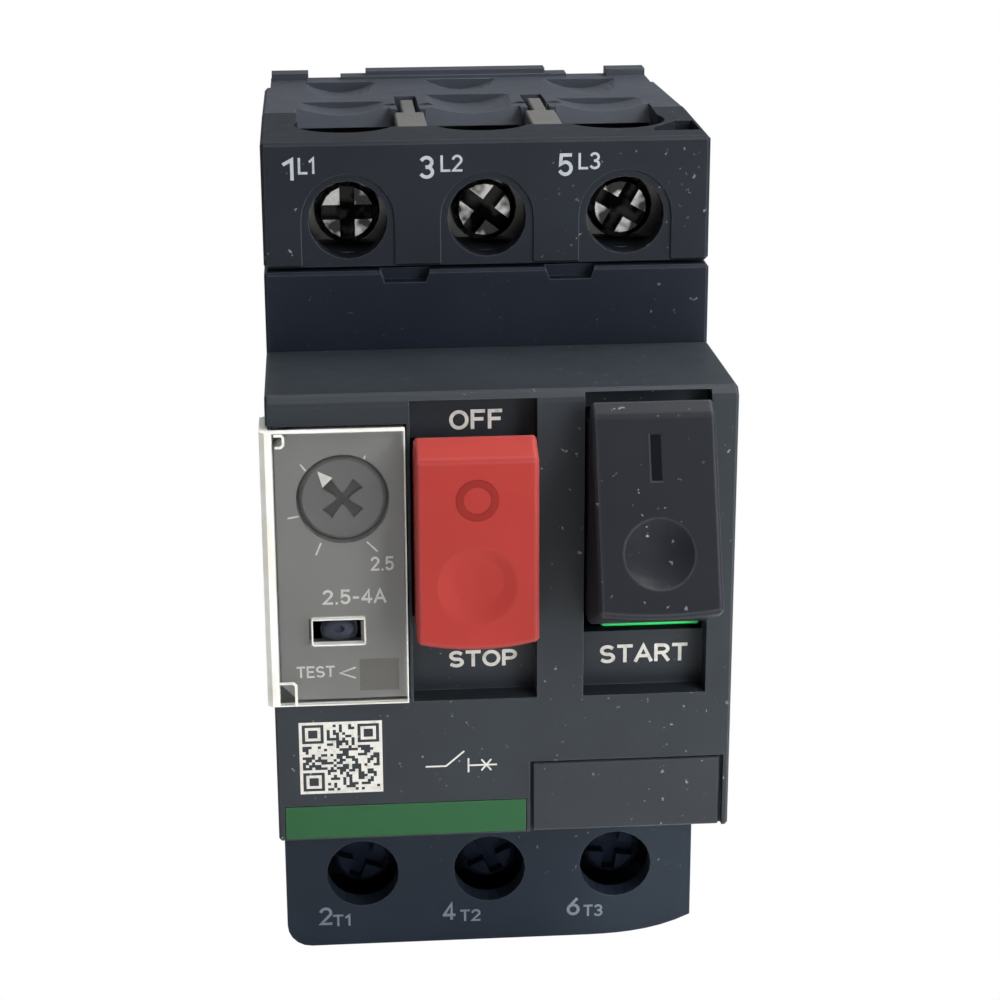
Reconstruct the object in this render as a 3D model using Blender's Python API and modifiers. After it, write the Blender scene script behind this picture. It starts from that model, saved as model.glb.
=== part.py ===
"""Three pole motor protection breaker for a 35 mm rail.

Units are metres. The front faces -Y, +X is to the right, +Z is up. The origin is the middle
of the rail's seat: y = 0 is the plane that rests on the rail, z = 0 is the rail's centre line.
"""
from math import atan2, cos, hypot, pi, radians, sin, tan

import bmesh
import bpy
from mathutils import Matrix, Vector

MM = 0.001

# ---- driving dimensions -------------------------------------------------------------------
BODY_WIDTH = 44.5 * MM
BODY_HEIGHT = 89.0 * MM
SEAT_TO_FACE = 39.7 * MM          # rail seat to the upper terminal face
SEAT_TO_LIP = 71.0 * MM           # rail seat to the start button's front lip
FOOT_DEPTH = 7.2 * MM             # how far the rear feet reach behind the rail seat
GAP = 0.3 * MM                    # clearance between pieces that touch

BASE_DEPTH = 21.9 * MM            # rail seat to the seam between base and covers
NOSE_PROUD = 20.0 * MM            # nose front ahead of the terminal face
NOSE_HEIGHT = 44.7 * MM
NOSE_CENTRE = 1.35 * MM           # nose centre above the rail's centre line
UPPER_BLOCK = 12.6 * MM           # height of the upper terminal cover
BAND_PROUD = 0.5 * MM
LOWER_SETBACK = 1.7 * MM          # lower terminal face behind the upper one
WALL = 1.8 * MM
NOSE_WALL = 1.6 * MM

# poles and terminals
SIDE_MARGIN = 1.55 * MM
BARRIER = 4.0 * MM                # moulded wall between two poles' terminals
PARTITION = 1.4 * MM              # wall between two poles in the base
UPPER_SCREW_INSET = 7.85 * MM     # screw axis from the block's outer edge
LOWER_SCREW_INSET = 8.6 * MM
DRIVER_HOLE_R = 3.9 * MM
HEAD_R = 3.3 * MM
HEAD_THICK = 2.2 * MM
HEAD_DEPTH = 4.1 * MM             # screw head front behind the terminal face, backed out
SHANK_R = 1.75 * MM
SHANK_LENGTH = 11.4 * MM
CLAMP_THICK = 1.0 * MM
CLAMP_TRAVEL = 3.4 * MM
BAR_THICK = 1.5 * MM
BAR_TRIM = 1.3 * MM               # chamber side to the bar's edge
WIRE_HOLE_R = 5.2 * MM
WIRE_HOLE_DEPTH = 10.2 * MM       # wire hole centre behind the terminal face
ROOF = 3.5 * MM                   # cover's roof over the terminal chamber
FACE_WALL = 2.4 * MM

# buttons, dial and test
WELL_DEPTH = 2.7 * MM
WELL_FLOOR = 1.4 * MM
WELL_WIDTH = 12.0 * MM
WELL_CLEARANCE = 0.3 * MM
STOP_X = -2.82 * MM
START_X = 13.68 * MM
STOP_TRAVEL = 3.0 * MM
START_TRAVEL = 4.0 * MM
CARRIER_TRAVEL = 2.4 * MM
DIAL_X = -15.2 * MM
DIAL_Z = 14.4 * MM
DIAL_R = 4.1 * MM
TEST_X = -15.85 * MM
TEST_Z = 1.15 * MM
TEST_R = 1.8 * MM
TEST_HALF_HIGH = 1.0 * MM
TEST_TRAVEL = 0.8 * MM
PLATE_THICK = 1.2 * MM
PLATE_RIGHT = -9.4 * MM
PLATE_LOW = -5.9 * MM
PLATE_HIGH = 21.3 * MM
LID_THICK = 0.9 * MM

# rail
RAIL_WIDTH = 35.0 * MM
RAIL_FLANGE = 1.0 * MM
HOOK_REACH = 2.5 * MM
SEAT_RELIEF = 0.25 * MM           # channel floor below the seat, beyond the part that bears
LATCH_HALF_WIDTH = 8.0 * MM
LATCH_THICK = 2.0 * MM
LATCH_TRAVEL = 4.0 * MM

# ---- derived places -----------------------------------------------------------------------
HALF_WIDTH = BODY_WIDTH / 2
TOP = BODY_HEIGHT / 2
BOTTOM = -BODY_HEIGHT / 2
FACE = -SEAT_TO_FACE
LOWER_FACE = FACE + LOWER_SETBACK
BAND_FACE = FACE - BAND_PROUD
NOSE_FACE = FACE - NOSE_PROUD
NOSE_REAR = BAND_FACE - GAP
NOSE_LOW = NOSE_CENTRE - NOSE_HEIGHT / 2
NOSE_HIGH = NOSE_CENTRE + NOSE_HEIGHT / 2
BASE_FRONT = -BASE_DEPTH + GAP / 2
COVER_REAR = -BASE_DEPTH - GAP / 2
UPPER_LOW = TOP - UPPER_BLOCK
LOWER_HIGH = NOSE_LOW - GAP
PITCH = (BODY_WIDTH - 2 * SIDE_MARGIN) / 3
POLES = (-PITCH, 0.0, PITCH)
CHAMBER_HALF = (PITCH - BARRIER) / 2
BAR_HALF = CHAMBER_HALF - BAR_TRIM
UPPER_SCREW = TOP - UPPER_SCREW_INSET
LOWER_SCREW = BOTTOM + LOWER_SCREW_INSET
FLOOR_Y = NOSE_FACE + WELL_DEPTH
WELL_LOW = NOSE_LOW + 14.5 * MM
WELL_HIGH = NOSE_HIGH + 0.4 * MM
BUTTON_WIDTH = WELL_WIDTH - 0.5 * MM
BUTTON_REAR = FLOOR_Y + WELL_FLOOR + 2.4 * MM
PLATE_LEFT = -HALF_WIDTH + 0.65 * MM
PLATE_FRONT = NOSE_FACE + 0.1 * MM
BASE_ROOF = TOP - 5.0 * MM
BASE_CAVITY_REAR = -2.2 * MM

# contact system inside each pole
CONTACT_Y = -6.6 * MM             # front of the fixed contact strips
STRIP = 1.4 * MM
BAR_REACH = SHANK_R + GAP + STRIP  # screw axis to the bar's edges
TIP = 0.8 * MM
TIP_HALF = 1.8 * MM
UPPER_TIP_Z = 19.5 * MM
LOWER_TIP_Z = 3.2 * MM
BRIDGE_THICK = 1.2 * MM
BRIDGE_HALF = 2.2 * MM
CLOSED_GAP = 0.1 * MM
BRIDGE_Y = CONTACT_Y - TIP - CLOSED_GAP - CARRIER_TRAVEL - TIP - BRIDGE_THICK
CARRIER_Y = BRIDGE_Y - GAP
CARRIER_THICK = 3.5 * MM
CARRIER_LOW = 9.0 * MM
CARRIER_HIGH = 14.0 * MM
COIL_R = 3.6 * MM
FLANGE_R = COIL_R + 1.1 * MM
COIL_Y = BASE_CAVITY_REAR - GAP - FLANGE_R
WIRE_R = 0.75 * MM
COIL_LOW = -22.5 * MM
COIL_HIGH = -4.6 * MM
COIL_TURNS = 6
BIMETAL_HALF = 0.3 * MM
BIMETAL_TOP = 2.5 * MM
SLIDE_Y = BASE_FRONT + 2.05 * MM
SLIDE_DEPTH = BRIDGE_Y - 2.8 * MM - SLIDE_Y
BIMETAL_Y = SLIDE_Y + 2.0 * MM
BIMETAL_DEPTH = min(COIL_Y - FLANGE_R, BRIDGE_Y) - 0.8 * MM - BIMETAL_Y
SLIDE_LOW = -1.5 * MM
SLIDE_HIGH = 2.0 * MM

# mechanism behind the buttons
FRAME_REAR = COVER_REAR - 3.35 * MM - GAP
FRAME_SHEET = 1.2 * MM
FRAME_FRONT = FRAME_REAR - 22.8 * MM
FRAME_LEFT = -9.0 * MM
FRAME_LOW = -5.5 * MM
FRAME_HIGH = 21.0 * MM
PIVOT_Y = -36.9 * MM
PIVOT_Z = -2.5 * MM
PIN_R = 1.0 * MM
LEVER_THICK = 2.4 * MM
START_NIB_Z = 13.5 * MM
STOP_NIB_Z = 12.0 * MM
CARRIER_NIB_Z = 7.0 * MM
NIB_HALF = 0.6 * MM
SPRING_WIRE_R = 0.28 * MM
SPRING_R = 1.8 * MM


# ---- scene and collections ----------------------------------------------------------------
def clear_scene():
    for item in list(bpy.data.objects):
        bpy.data.objects.remove(item, do_unlink=True)


def make_collection(name):
    collection = bpy.data.collections.new(name)
    bpy.context.scene.collection.children.link(collection)
    return collection


clear_scene()
PARTS = make_collection("motor_protection_breaker")
CUTTERS = make_collection("cutters")


def make_material(name, colour, roughness, metallic=0.0, alpha=1.0):
    material = bpy.data.materials.new(name)
    material.use_nodes = True
    shader = material.node_tree.nodes["Principled BSDF"]
    shader.inputs["Base Color"].default_value = (*colour, 1.0)
    shader.inputs["Roughness"].default_value = roughness
    shader.inputs["Metallic"].default_value = metallic
    shader.inputs["Alpha"].default_value = alpha
    return material


CHARCOAL = (0.028, 0.031, 0.037)


def charcoal(name):
    return make_material(name, CHARCOAL, 0.5)


def steel(name):
    return make_material(name, (0.62, 0.62, 0.60), 0.3, 1.0)


def copper(name):
    return make_material(name, (0.85, 0.55, 0.30), 0.35, 1.0)


# ---- mesh building ------------------------------------------------------------------------
def finish_mesh(name, bm):
    mesh = bpy.data.meshes.new(name)
    bm.to_mesh(mesh)
    bm.free()
    return mesh


def block(low, high):
    """Mesh of a box between two corners."""
    bm = bmesh.new()
    bmesh.ops.create_cube(bm, size=1.0)
    low, high = Vector(low), Vector(high)
    size = high - low
    bmesh.ops.scale(bm, vec=size, verts=bm.verts)
    bmesh.ops.translate(bm, vec=(low + high) / 2, verts=bm.verts)
    return finish_mesh("block", bm)


AXIS_TURN = {
    "x": Matrix.Rotation(pi / 2, 4, "Y"),
    "y": Matrix.Rotation(-pi / 2, 4, "X"),
    "z": Matrix.Identity(4),
}


def rod(centre, radius, length, axis, segments=24, end_radius=None):
    """Mesh of a cylinder or cone about its centre; end_radius is at the axis's far end."""
    bm = bmesh.new()
    far = radius if end_radius is None else end_radius
    bmesh.ops.create_cone(bm, cap_ends=True, segments=segments, radius1=radius, radius2=far, depth=length)
    bmesh.ops.transform(bm, matrix=Matrix.Translation(centre) @ AXIS_TURN[axis], verts=bm.verts)
    return finish_mesh("rod", bm)


def ball(centre, radius, segments=24):
    bm = bmesh.new()
    bmesh.ops.create_uvsphere(bm, u_segments=segments, v_segments=segments // 2, radius=radius)
    bmesh.ops.rotate(bm, matrix=Matrix.Rotation(pi / 2, 3, "X"), verts=bm.verts)
    bmesh.ops.translate(bm, vec=centre, verts=bm.verts)
    return finish_mesh("ball", bm)


def loft(rings):
    """Mesh through closed rings of equally many points, with flat ends."""
    bm = bmesh.new()
    rows = [[bm.verts.new(point) for point in ring] for ring in rings]
    count = len(rows[0])
    for here, there in zip(rows, rows[1:]):
        for i in range(count):
            j = (i + 1) % count
            bm.faces.new((here[i], here[j], there[j], there[i]))
    bm.faces.new(list(reversed(rows[0])))
    bm.faces.new(rows[-1])
    bmesh.ops.recalc_face_normals(bm, faces=bm.faces)
    return finish_mesh("loft", bm)


# An outline's two coordinates run along these axes, and its thickness along the third.
OUTLINE_FRAME = {
    "x": Matrix(((0, 0, 1, 0), (1, 0, 0, 0), (0, 1, 0, 0), (0, 0, 0, 1))),
    "y": Matrix(((1, 0, 0, 0), (0, 0, -1, 0), (0, 1, 0, 0), (0, 0, 0, 1))),
    "z": Matrix.Identity(4),
}


def prism(outline, axis, start, end):
    """Mesh of a flat outline, drawn as a filled 2D curve, between two places on an axis."""
    curve = bpy.data.curves.new("outline", "CURVE")
    curve.dimensions = "2D"
    curve.fill_mode = "BOTH"
    curve.extrude = abs(end - start) / 2
    spline = curve.splines.new("POLY")
    spline.points.add(len(outline) - 1)
    for point, (u, v) in zip(spline.points, outline):
        point.co = (u, v, 0.0, 1.0)
    spline.use_cyclic_u = True
    guide = bpy.data.objects.new("outline", curve)
    CUTTERS.objects.link(guide)
    bpy.context.view_layer.update()
    evaluated = guide.evaluated_get(bpy.context.evaluated_depsgraph_get())
    mesh = bpy.data.meshes.new_from_object(evaluated)
    bpy.data.objects.remove(guide)
    bm = bmesh.new()
    bm.from_mesh(mesh)
    bmesh.ops.remove_doubles(bm, verts=bm.verts, dist=1e-7)
    shift = Vector((0, 0, 0))
    shift["xyz".index(axis)] = (start + end) / 2
    bmesh.ops.transform(bm, matrix=Matrix.Translation(shift) @ OUTLINE_FRAME[axis], verts=bm.verts)
    bmesh.ops.recalc_face_normals(bm, faces=bm.faces)
    bm.to_mesh(mesh)
    bm.free()
    return mesh


def arc(centre, radius, first, last, steps):
    """Points on an arc, angles in degrees."""
    turn = radians(last - first) / steps
    start = radians(first)
    return [
        (centre[0] + radius * cos(start + turn * i), centre[1] + radius * sin(start + turn * i))
        for i in range(steps + 1)
    ]


# ---- objects ------------------------------------------------------------------------------
def part(name, mesh, material, bevel=0.0, segments=1):
    item = bpy.data.objects.new(name, mesh)
    mesh.name = name
    mesh.materials.clear()
    mesh.materials.append(material)
    PARTS.objects.link(item)
    if bevel:
        add_bevel(item, bevel, segments)
    return item


def add_bevel(item, width, segments=1):
    rounding = item.modifiers.new("edges", "BEVEL")
    rounding.width = width
    rounding.segments = segments
    rounding.limit_method = "ANGLE"
    rounding.angle_limit = radians(35)


def guide_object(mesh):
    item = bpy.data.objects.new("cutter", mesh)
    CUTTERS.objects.link(item)
    item.hide_render = True
    item.display_type = "WIRE"
    return item


def combine(item, mesh, operation):
    step = item.modifiers.new(operation.lower(), "BOOLEAN")
    step.operation = operation
    step.object = guide_object(mesh)


def cut(item, *meshes):
    for mesh in meshes:
        combine(item, mesh, "DIFFERENCE")


def add(item, *meshes):
    for mesh in meshes:
        combine(item, mesh, "UNION")


def smooth(item, angle=35):
    item.data.shade_smooth()
    item.data.set_sharp_from_angle(angle=radians(angle))


def turned(name, profile, material, place, tip, steps=24):
    """A turned piece: radius and height pairs, top first, about local Z, laid along tip."""
    bm = bmesh.new()
    points = [bm.verts.new((radius, 0.0, height)) for radius, height in profile]
    for a, b in zip(points, points[1:]):
        bm.edges.new((a, b))
    item = part(name, finish_mesh(name, bm), material)
    turn = item.modifiers.new("turn", "SCREW")
    turn.steps = steps
    turn.render_steps = steps
    turn.use_merge_vertices = True
    turn.merge_threshold = 1e-6
    turn.use_smooth_shade = True
    item.location = place
    item.rotation_euler = Vector((0, 0, 1)).rotation_difference(Vector(tip)).to_euler()
    return item


def spring(name, centre, axis, low, high, radius, wire_r, turns, material, per_turn=8):
    """A compression spring: a helix of wire between two places on an axis."""
    curve = bpy.data.curves.new(name, "CURVE")
    curve.dimensions = "3D"
    curve.bevel_depth = wire_r
    curve.bevel_resolution = 2
    curve.use_fill_caps = True
    spline = curve.splines.new("POLY")
    count = turns * per_turn
    spline.points.add(count)
    first, last = low + wire_r, high - wire_r
    for i, point in enumerate(spline.points):
        angle = 2 * pi * i / per_turn
        along = first + (last - first) * i / count
        u, v = radius * cos(angle), radius * sin(angle)
        if axis == "y":
            place = (centre[0] + u, along, centre[1] + v)
        else:
            place = (centre[0] + u, centre[1] + v, along)
        point.co = (*place, 1.0)
    item = bpy.data.objects.new(name, curve)
    curve.materials.append(material)
    PARTS.objects.link(item)
    return item


# ---- rear base ----------------------------------------------------------------------------
def trough(centre_x, stations, lid):
    """Cutter with a concave floor. A station is y, floor height at the middle, sag, half width."""
    steps = 8
    rings = []
    for y, floor, sag, half in stations:
        ring = []
        for i in range(steps + 1):
            share = -1 + 2 * i / steps
            ring.append((centre_x + half * share, y, floor + sag * share * share))
        ring.append((centre_x + half, y, lid))
        ring.append((centre_x - half, y, lid))
        rings.append(ring)
    return loft(rings)


def make_rear_base():
    hook = RAIL_WIDTH / 2
    rear_top = TOP - 1.0 * MM
    lip_front = RAIL_FLANGE + GAP
    lip_rear = lip_front + 2.0 * MM
    outline = [
        (BASE_FRONT, BOTTOM),
        (BASE_FRONT, TOP - 0.1 * MM),
        (0.0, rear_top),
        (FOOT_DEPTH, rear_top),
        (FOOT_DEPTH, hook + 4.0 * MM),
        (lip_rear, hook - HOOK_REACH + 0.5 * MM),
        (lip_rear - 0.5 * MM, hook - HOOK_REACH),
        (lip_front, hook - HOOK_REACH),
        (lip_front, hook + GAP),
        (0.0, hook + GAP),
        (0.0, -hook - 2 * GAP),
        (FOOT_DEPTH, -hook - 2 * GAP),
        (FOOT_DEPTH, BOTTOM),
    ]
    base = part("rear_base", prism(outline, "x", -HALF_WIDTH, HALF_WIDTH), charcoal("base"), 0.38 * MM)

    # side recesses where an auxiliary block hooks on
    for side in (-1, 1):
        for z in (-9.1 * MM, 17.1 * MM):
            inner = side * (HALF_WIDTH - 0.8 * MM)
            outer = side * (HALF_WIDTH + 1.0 * MM)
            cut(base, block((min(inner, outer), -14.1 * MM, z), (max(inner, outer), -8.2 * MM, z + 2.9 * MM)))

    # the feet are a little narrower than the body
    for side in (-1, 1):
        inner = side * (HALF_WIDTH - 0.65 * MM)
        outer = side * (HALF_WIDTH + 1.0 * MM)
        low = (min(inner, outer), 0.06 * MM, BOTTOM - 1.0 * MM)
        high = (max(inner, outer), FOOT_DEPTH + 1.0 * MM, TOP)
        cut(base, block(low, high))

    # the seat stops short of the hook and the latch; the floor beyond it is a little lower
    land_high = hook - HOOK_REACH - 0.4 * MM
    land_low = LATCH_TOP + 0.4 * MM
    reach = HALF_WIDTH + 1.0 * MM
    cut(base, block((-reach, -SEAT_RELIEF, land_high), (reach, 0.3 * MM, hook - 0.2 * MM)))
    cut(base, block((-reach, -SEAT_RELIEF, -hook + 0.2 * MM), (reach, 0.3 * MM, land_low)))

    # crest and ears at the top rear
    crest_front = FOOT_DEPTH - 2.5 * MM
    add(base, block((-13.6 * MM, crest_front, rear_top - 1.0 * MM), (12.4 * MM, FOOT_DEPTH - 0.05 * MM, TOP - 0.6 * MM)))
    add(base, block((-10.7 * MM, crest_front + 0.1 * MM, rear_top - 1.2 * MM), (9.9 * MM, FOOT_DEPTH - 0.1 * MM, TOP)))
    for left, right in ((-21.5 * MM, -17.3 * MM), (17.0 * MM, 21.5 * MM)):
        add(base, block((left, crest_front - 0.2 * MM, rear_top - 3.0 * MM), (right, FOOT_DEPTH - 0.15 * MM, TOP - 0.15 * MM)))
    cut(base, block((-19.9 * MM, crest_front - 2.5 * MM, rear_top - 2.3 * MM), (-18.1 * MM, FOOT_DEPTH + 1.0 * MM, rear_top - 0.1 * MM)))

    # a chamber for each pole
    for x in POLES:
        left = max(x - PITCH / 2 + PARTITION / 2, -HALF_WIDTH + WALL)
        right = min(x + PITCH / 2 - PARTITION / 2, HALF_WIDTH - WALL)
        cut(base, block((left, BASE_FRONT - 1.0 * MM, BOTTOM + 2.0 * MM), (right, BASE_CAVITY_REAR, BASE_ROOF)))
    # windows in the partitions for the carrier and the trip slide
    reach = PITCH / 2 + PARTITION
    cut(base, block(
        (-reach, CARRIER_Y - CARRIER_THICK - 0.5 * MM, CARRIER_LOW - 0.5 * MM),
        (reach, CARRIER_Y + CARRIER_TRAVEL + 0.5 * MM, CARRIER_HIGH + 0.5 * MM)))
    cut(base, block(
        (-reach - 0.1 * MM, SLIDE_Y - 0.4 * MM, SLIDE_LOW - 0.4 * MM),
        (reach + 0.1 * MM, SLIDE_Y + SLIDE_DEPTH + 0.4 * MM, SLIDE_HIGH + 0.4 * MM)))

    # wire funnels: open above the terminal, then a slab with a scooped top that the wire lies on
    funnel_half = CHAMBER_HALF + 0.1 * MM
    shelf_y = BASE_FRONT + 2.05 * MM
    for x in POLES:
        for side, edge in ((1, TOP), (-1, BOTTOM)):
            far = edge + side * 3.0 * MM
            inner = edge - side * 8.0 * MM
            under = edge - side * 2.1 * MM
            lean = 0.65
            opening = [
                (BASE_FRONT - 0.5 * MM, inner),
                (shelf_y - 0.45 * MM, inner),
                (shelf_y - 0.45 * MM, under),
                (shelf_y - 0.45 * MM + lean * abs(far - under), far),
                (BASE_FRONT - 0.5 * MM, far),
            ]
            cut(base, prism(opening, "x", x - funnel_half, x + funnel_half))
            reach, fall, sag = (0.61, 1.75 * MM, 1.25 * MM) if x == 0.0 and side > 0 else (0.377, 1.2 * MM, 0.85 * MM)
            cut(base, trough(x, [
                (shelf_y - 0.2 * MM, edge - side * 0.85 * MM, side * 0.95 * MM, funnel_half + 0.1 * MM),
                (BASE_FRONT + reach * BASE_DEPTH, edge - side * fall, side * sag, funnel_half),
            ], far))
        # hollow under the slab
        low = (x - funnel_half + 0.1 * MM, BASE_FRONT - 0.4 * MM, TOP - 4.0 * MM)
        cut(base, block(low, (x + funnel_half - 0.1 * MM, shelf_y + 4.0 * MM, TOP - 2.1 * MM)))
    # second row of narrower scoops, each ending at a wall above the feet
    slope = 0.9 * MM / BASE_DEPTH
    for x in POLES:
        share, end = (0.756, crest_front - 0.2 * MM) if x == 0.0 else (0.473, crest_front - 1.4 * MM)
        start = BASE_FRONT + (share - 0.04) * BASE_DEPTH
        cut(base, trough(x, [
            (start, TOP + slope * (BASE_FRONT - start), 0.25 * MM, 3.7 * MM),
            (end, TOP - 2.2 * MM, 1.2 * MM, 4.2 * MM),
        ], TOP + 3.0 * MM))

    # shafts for the pole keys, each with a round pocket on both sides
    for side in (-1, 1):
        x = side * PITCH / 2
        deep = TOP - 3.1 * MM
        cut(base, block((x - 1.2 * MM, BASE_FRONT - 0.6 * MM, deep), (x + 1.2 * MM, BASE_FRONT + 12.3 * MM, TOP + 1.1 * MM)))
        half = BARRIER / 2 + 0.2 * MM
        cut(base, block((x - half, BASE_FRONT - 0.7 * MM, deep - 0.1 * MM), (x + half, BASE_FRONT + 1.4 * MM, TOP + 1.2 * MM)))
        for across in (-1, 1):
            centre = (x + across * 1.9 * MM, BASE_FRONT + 5.3 * MM, TOP)
            cut(base, rod(centre, 0.95 * MM, 3.2 * MM, "z", 16))

    # latch slot through the lower foot, with the nub that carries the latch spring
    slot = LATCH_HALF_WIDTH + GAP
    cut(base, block(
        (-slot, RAIL_FLANGE, BOTTOM - 1.2 * MM),
        (slot, RAIL_FLANGE + 2 * GAP + LATCH_THICK, -RAIL_WIDTH / 2 + 1.0 * MM)))
    add(base, block(
        (-1.4 * MM, RAIL_FLANGE - 0.4 * MM, LATCH_NUB - 2.0 * MM),
        (1.4 * MM, RAIL_FLANGE + 2 * GAP + LATCH_THICK + 0.4 * MM, LATCH_NUB)))
    # lightening pockets in the feet
    for left, right in ((-19.5 * MM, -11.0 * MM), (11.0 * MM, 19.5 * MM)):
        for low, high in ((BOTTOM + 3.0 * MM, -hook - 4.0 * MM), (hook + 6.5 * MM, TOP - 6.0 * MM)):
            cut(base, block((left, 1.8 * MM, low), (right, FOOT_DEPTH + 1.0 * MM, high)))
    return base


LATCH_TOP = -RAIL_WIDTH / 2 + 2.0 * MM
LATCH_WINDOW_TOP = LATCH_TOP - 9.5 * MM
LATCH_NUB = LATCH_WINDOW_TOP - 8.0 * MM


# ---- terminal covers ----------------------------------------------------------------------
def cut_terminals(cover, face, edge, screw_z, side):
    """Screwdriver holes, chambers and wire entries; side is 1 on the top and -1 below."""
    rear = COVER_REAR + 1.0 * MM
    roof = edge - side * ROOF
    sill = screw_z - side * (HEAD_R + 0.5 * MM)
    beyond = edge + side * 2.0 * MM
    for x in POLES:
        arch_r = DRIVER_HOLE_R + 0.75 * MM
        foot = edge - side * (UPPER_BLOCK + 2.0 * MM)
        arch = [(x - arch_r, foot), (x + arch_r, foot)]
        if side > 0:
            arch += arc((x, screw_z), arch_r, 0, 180, 12)
            cut(cover, prism(arch, "y", face - 1.0 * MM, face + 0.25 * MM))
        cut(cover, rod((x, face, screw_z), DRIVER_HOLE_R, 2 * FACE_WALL + 1.0 * MM, "y", 24))
        low = (x - CHAMBER_HALF, face + FACE_WALL, min(roof, sill))
        cut(cover, block(low, (x + CHAMBER_HALF, rear, max(roof, sill))))
        inside = roof - side * 0.6 * MM
        hole = (x, face + WIRE_HOLE_DEPTH, (inside + beyond) / 2)
        cut(cover, rod(hole, WIRE_HOLE_R, abs(beyond - inside), "z", 32))
        low = (x - CHAMBER_HALF + 0.1 * MM, face + WIRE_HOLE_DEPTH, min(inside, beyond))
        cut(cover, block(low, (x + CHAMBER_HALF - 0.1 * MM, rear + 0.2 * MM, max(inside, beyond))))


def make_upper_terminal_cover():
    mesh = block((-HALF_WIDTH, FACE, UPPER_LOW), (HALF_WIDTH, COVER_REAR, TOP))
    cover = part("upper_terminal_cover", mesh, charcoal("upper cover"), 0.35 * MM)
    cut_terminals(cover, FACE, TOP, UPPER_SCREW, 1)
    for side in (-1, 1):
        x = side * PITCH / 2
        half = BARRIER / 2 + 0.3 * MM
        low = (x - half, FACE + 8.0 * MM, TOP - 3.0 * MM)
        cut(cover, block(low, (x + half, COVER_REAR + 1.1 * MM, TOP + 1.0 * MM)))
    # notch in the right front corner of the roof
    notch = [
        (HALF_WIDTH - 5.15 * MM, FACE + 3.4 * MM),
        (HALF_WIDTH - 0.55 * MM, FACE + 3.4 * MM),
        (HALF_WIDTH - 0.55 * MM, FACE + 8.9 * MM),
        (HALF_WIDTH - 2.35 * MM, FACE + 8.9 * MM),
        (HALF_WIDTH - 5.15 * MM, FACE + 5.2 * MM),
    ]
    cut(cover, prism(notch, "z", TOP - 2.2 * MM, TOP + 1.0 * MM))
    return cover


def make_lower_terminal_cover():
    left, right = -HALF_WIDTH + 0.1 * MM, HALF_WIDTH - 0.1 * MM
    corner = 2.6 * MM
    sweep = 13.0 * MM
    rise = 2.1 * MM
    outline = [(left, LOWER_HIGH)]
    outline += arc((left + corner, BOTTOM + corner), corner, 180, 270, 5)
    for i in range(1, 9):
        share = i / 8
        outline.append((right - sweep + sweep * share, BOTTOM + rise * share ** 3))
    outline.append((right, LOWER_HIGH))
    cover = part("lower_terminal_cover", prism(outline, "y", LOWER_FACE, COVER_REAR), charcoal("lower cover"), 0.35 * MM)
    cut_terminals(cover, LOWER_FACE, BOTTOM, LOWER_SCREW, -1)
    low = (-HALF_WIDTH + WALL, LOWER_FACE + 2.2 * MM, LOWER_SCREW + 6.0 * MM)
    cut(cover, block(low, (HALF_WIDTH - WALL, COVER_REAR + 1.0 * MM, LOWER_HIGH - 1.6 * MM)))
    return cover


# ---- middle housing -----------------------------------------------------------------------
def make_middle_housing():
    high = UPPER_LOW - GAP
    mesh = block((-HALF_WIDTH, BAND_FACE, NOSE_LOW), (HALF_WIDTH, COVER_REAR, high))
    housing = part("middle_housing", mesh, charcoal("middle housing"), 0.3 * MM)
    inside = HALF_WIDTH - WALL
    web_front = FRAME_REAR + GAP
    cut(housing, block((-inside, BAND_FACE - 1.0 * MM, NOSE_LOW + WALL), (inside, web_front, NOSE_HIGH - NOSE_WALL)))
    cut(housing, block((-inside, BAND_FACE + 2.0 * MM, NOSE_HIGH + 1.8 * MM), (inside, COVER_REAR + 1.0 * MM, high - 1.8 * MM)))
    cut(housing, block(
        (START_X - 2.4 * MM, web_front - 1.0 * MM, CARRIER_NIB_Z - 1.8 * MM),
        (START_X + 2.4 * MM, COVER_REAR + 1.1 * MM, CARRIER_NIB_Z + 2.0 * MM)))
    cut(housing, block(
        (TEST_X - 2.4 * MM, web_front - 1.0 * MM, SLIDE_LOW + 0.2 * MM),
        (TEST_X + 1.8 * MM, COVER_REAR + 1.2 * MM, SLIDE_HIGH + 0.6 * MM)))
    # two trapezoidal snap notches in the band's top edge
    for side in (-1, 1):
        notch = [
            (side * 5.6 * MM, high + 0.5 * MM),
            (side * 6.2 * MM, high - 1.2 * MM),
            (side * 10.3 * MM, high - 1.2 * MM),
            (side * 10.9 * MM, high + 0.5 * MM),
        ]
        cut(housing, prism(notch, "y", BAND_FACE - 1.0 * MM, BAND_FACE + 1.5 * MM))
    return housing


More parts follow.
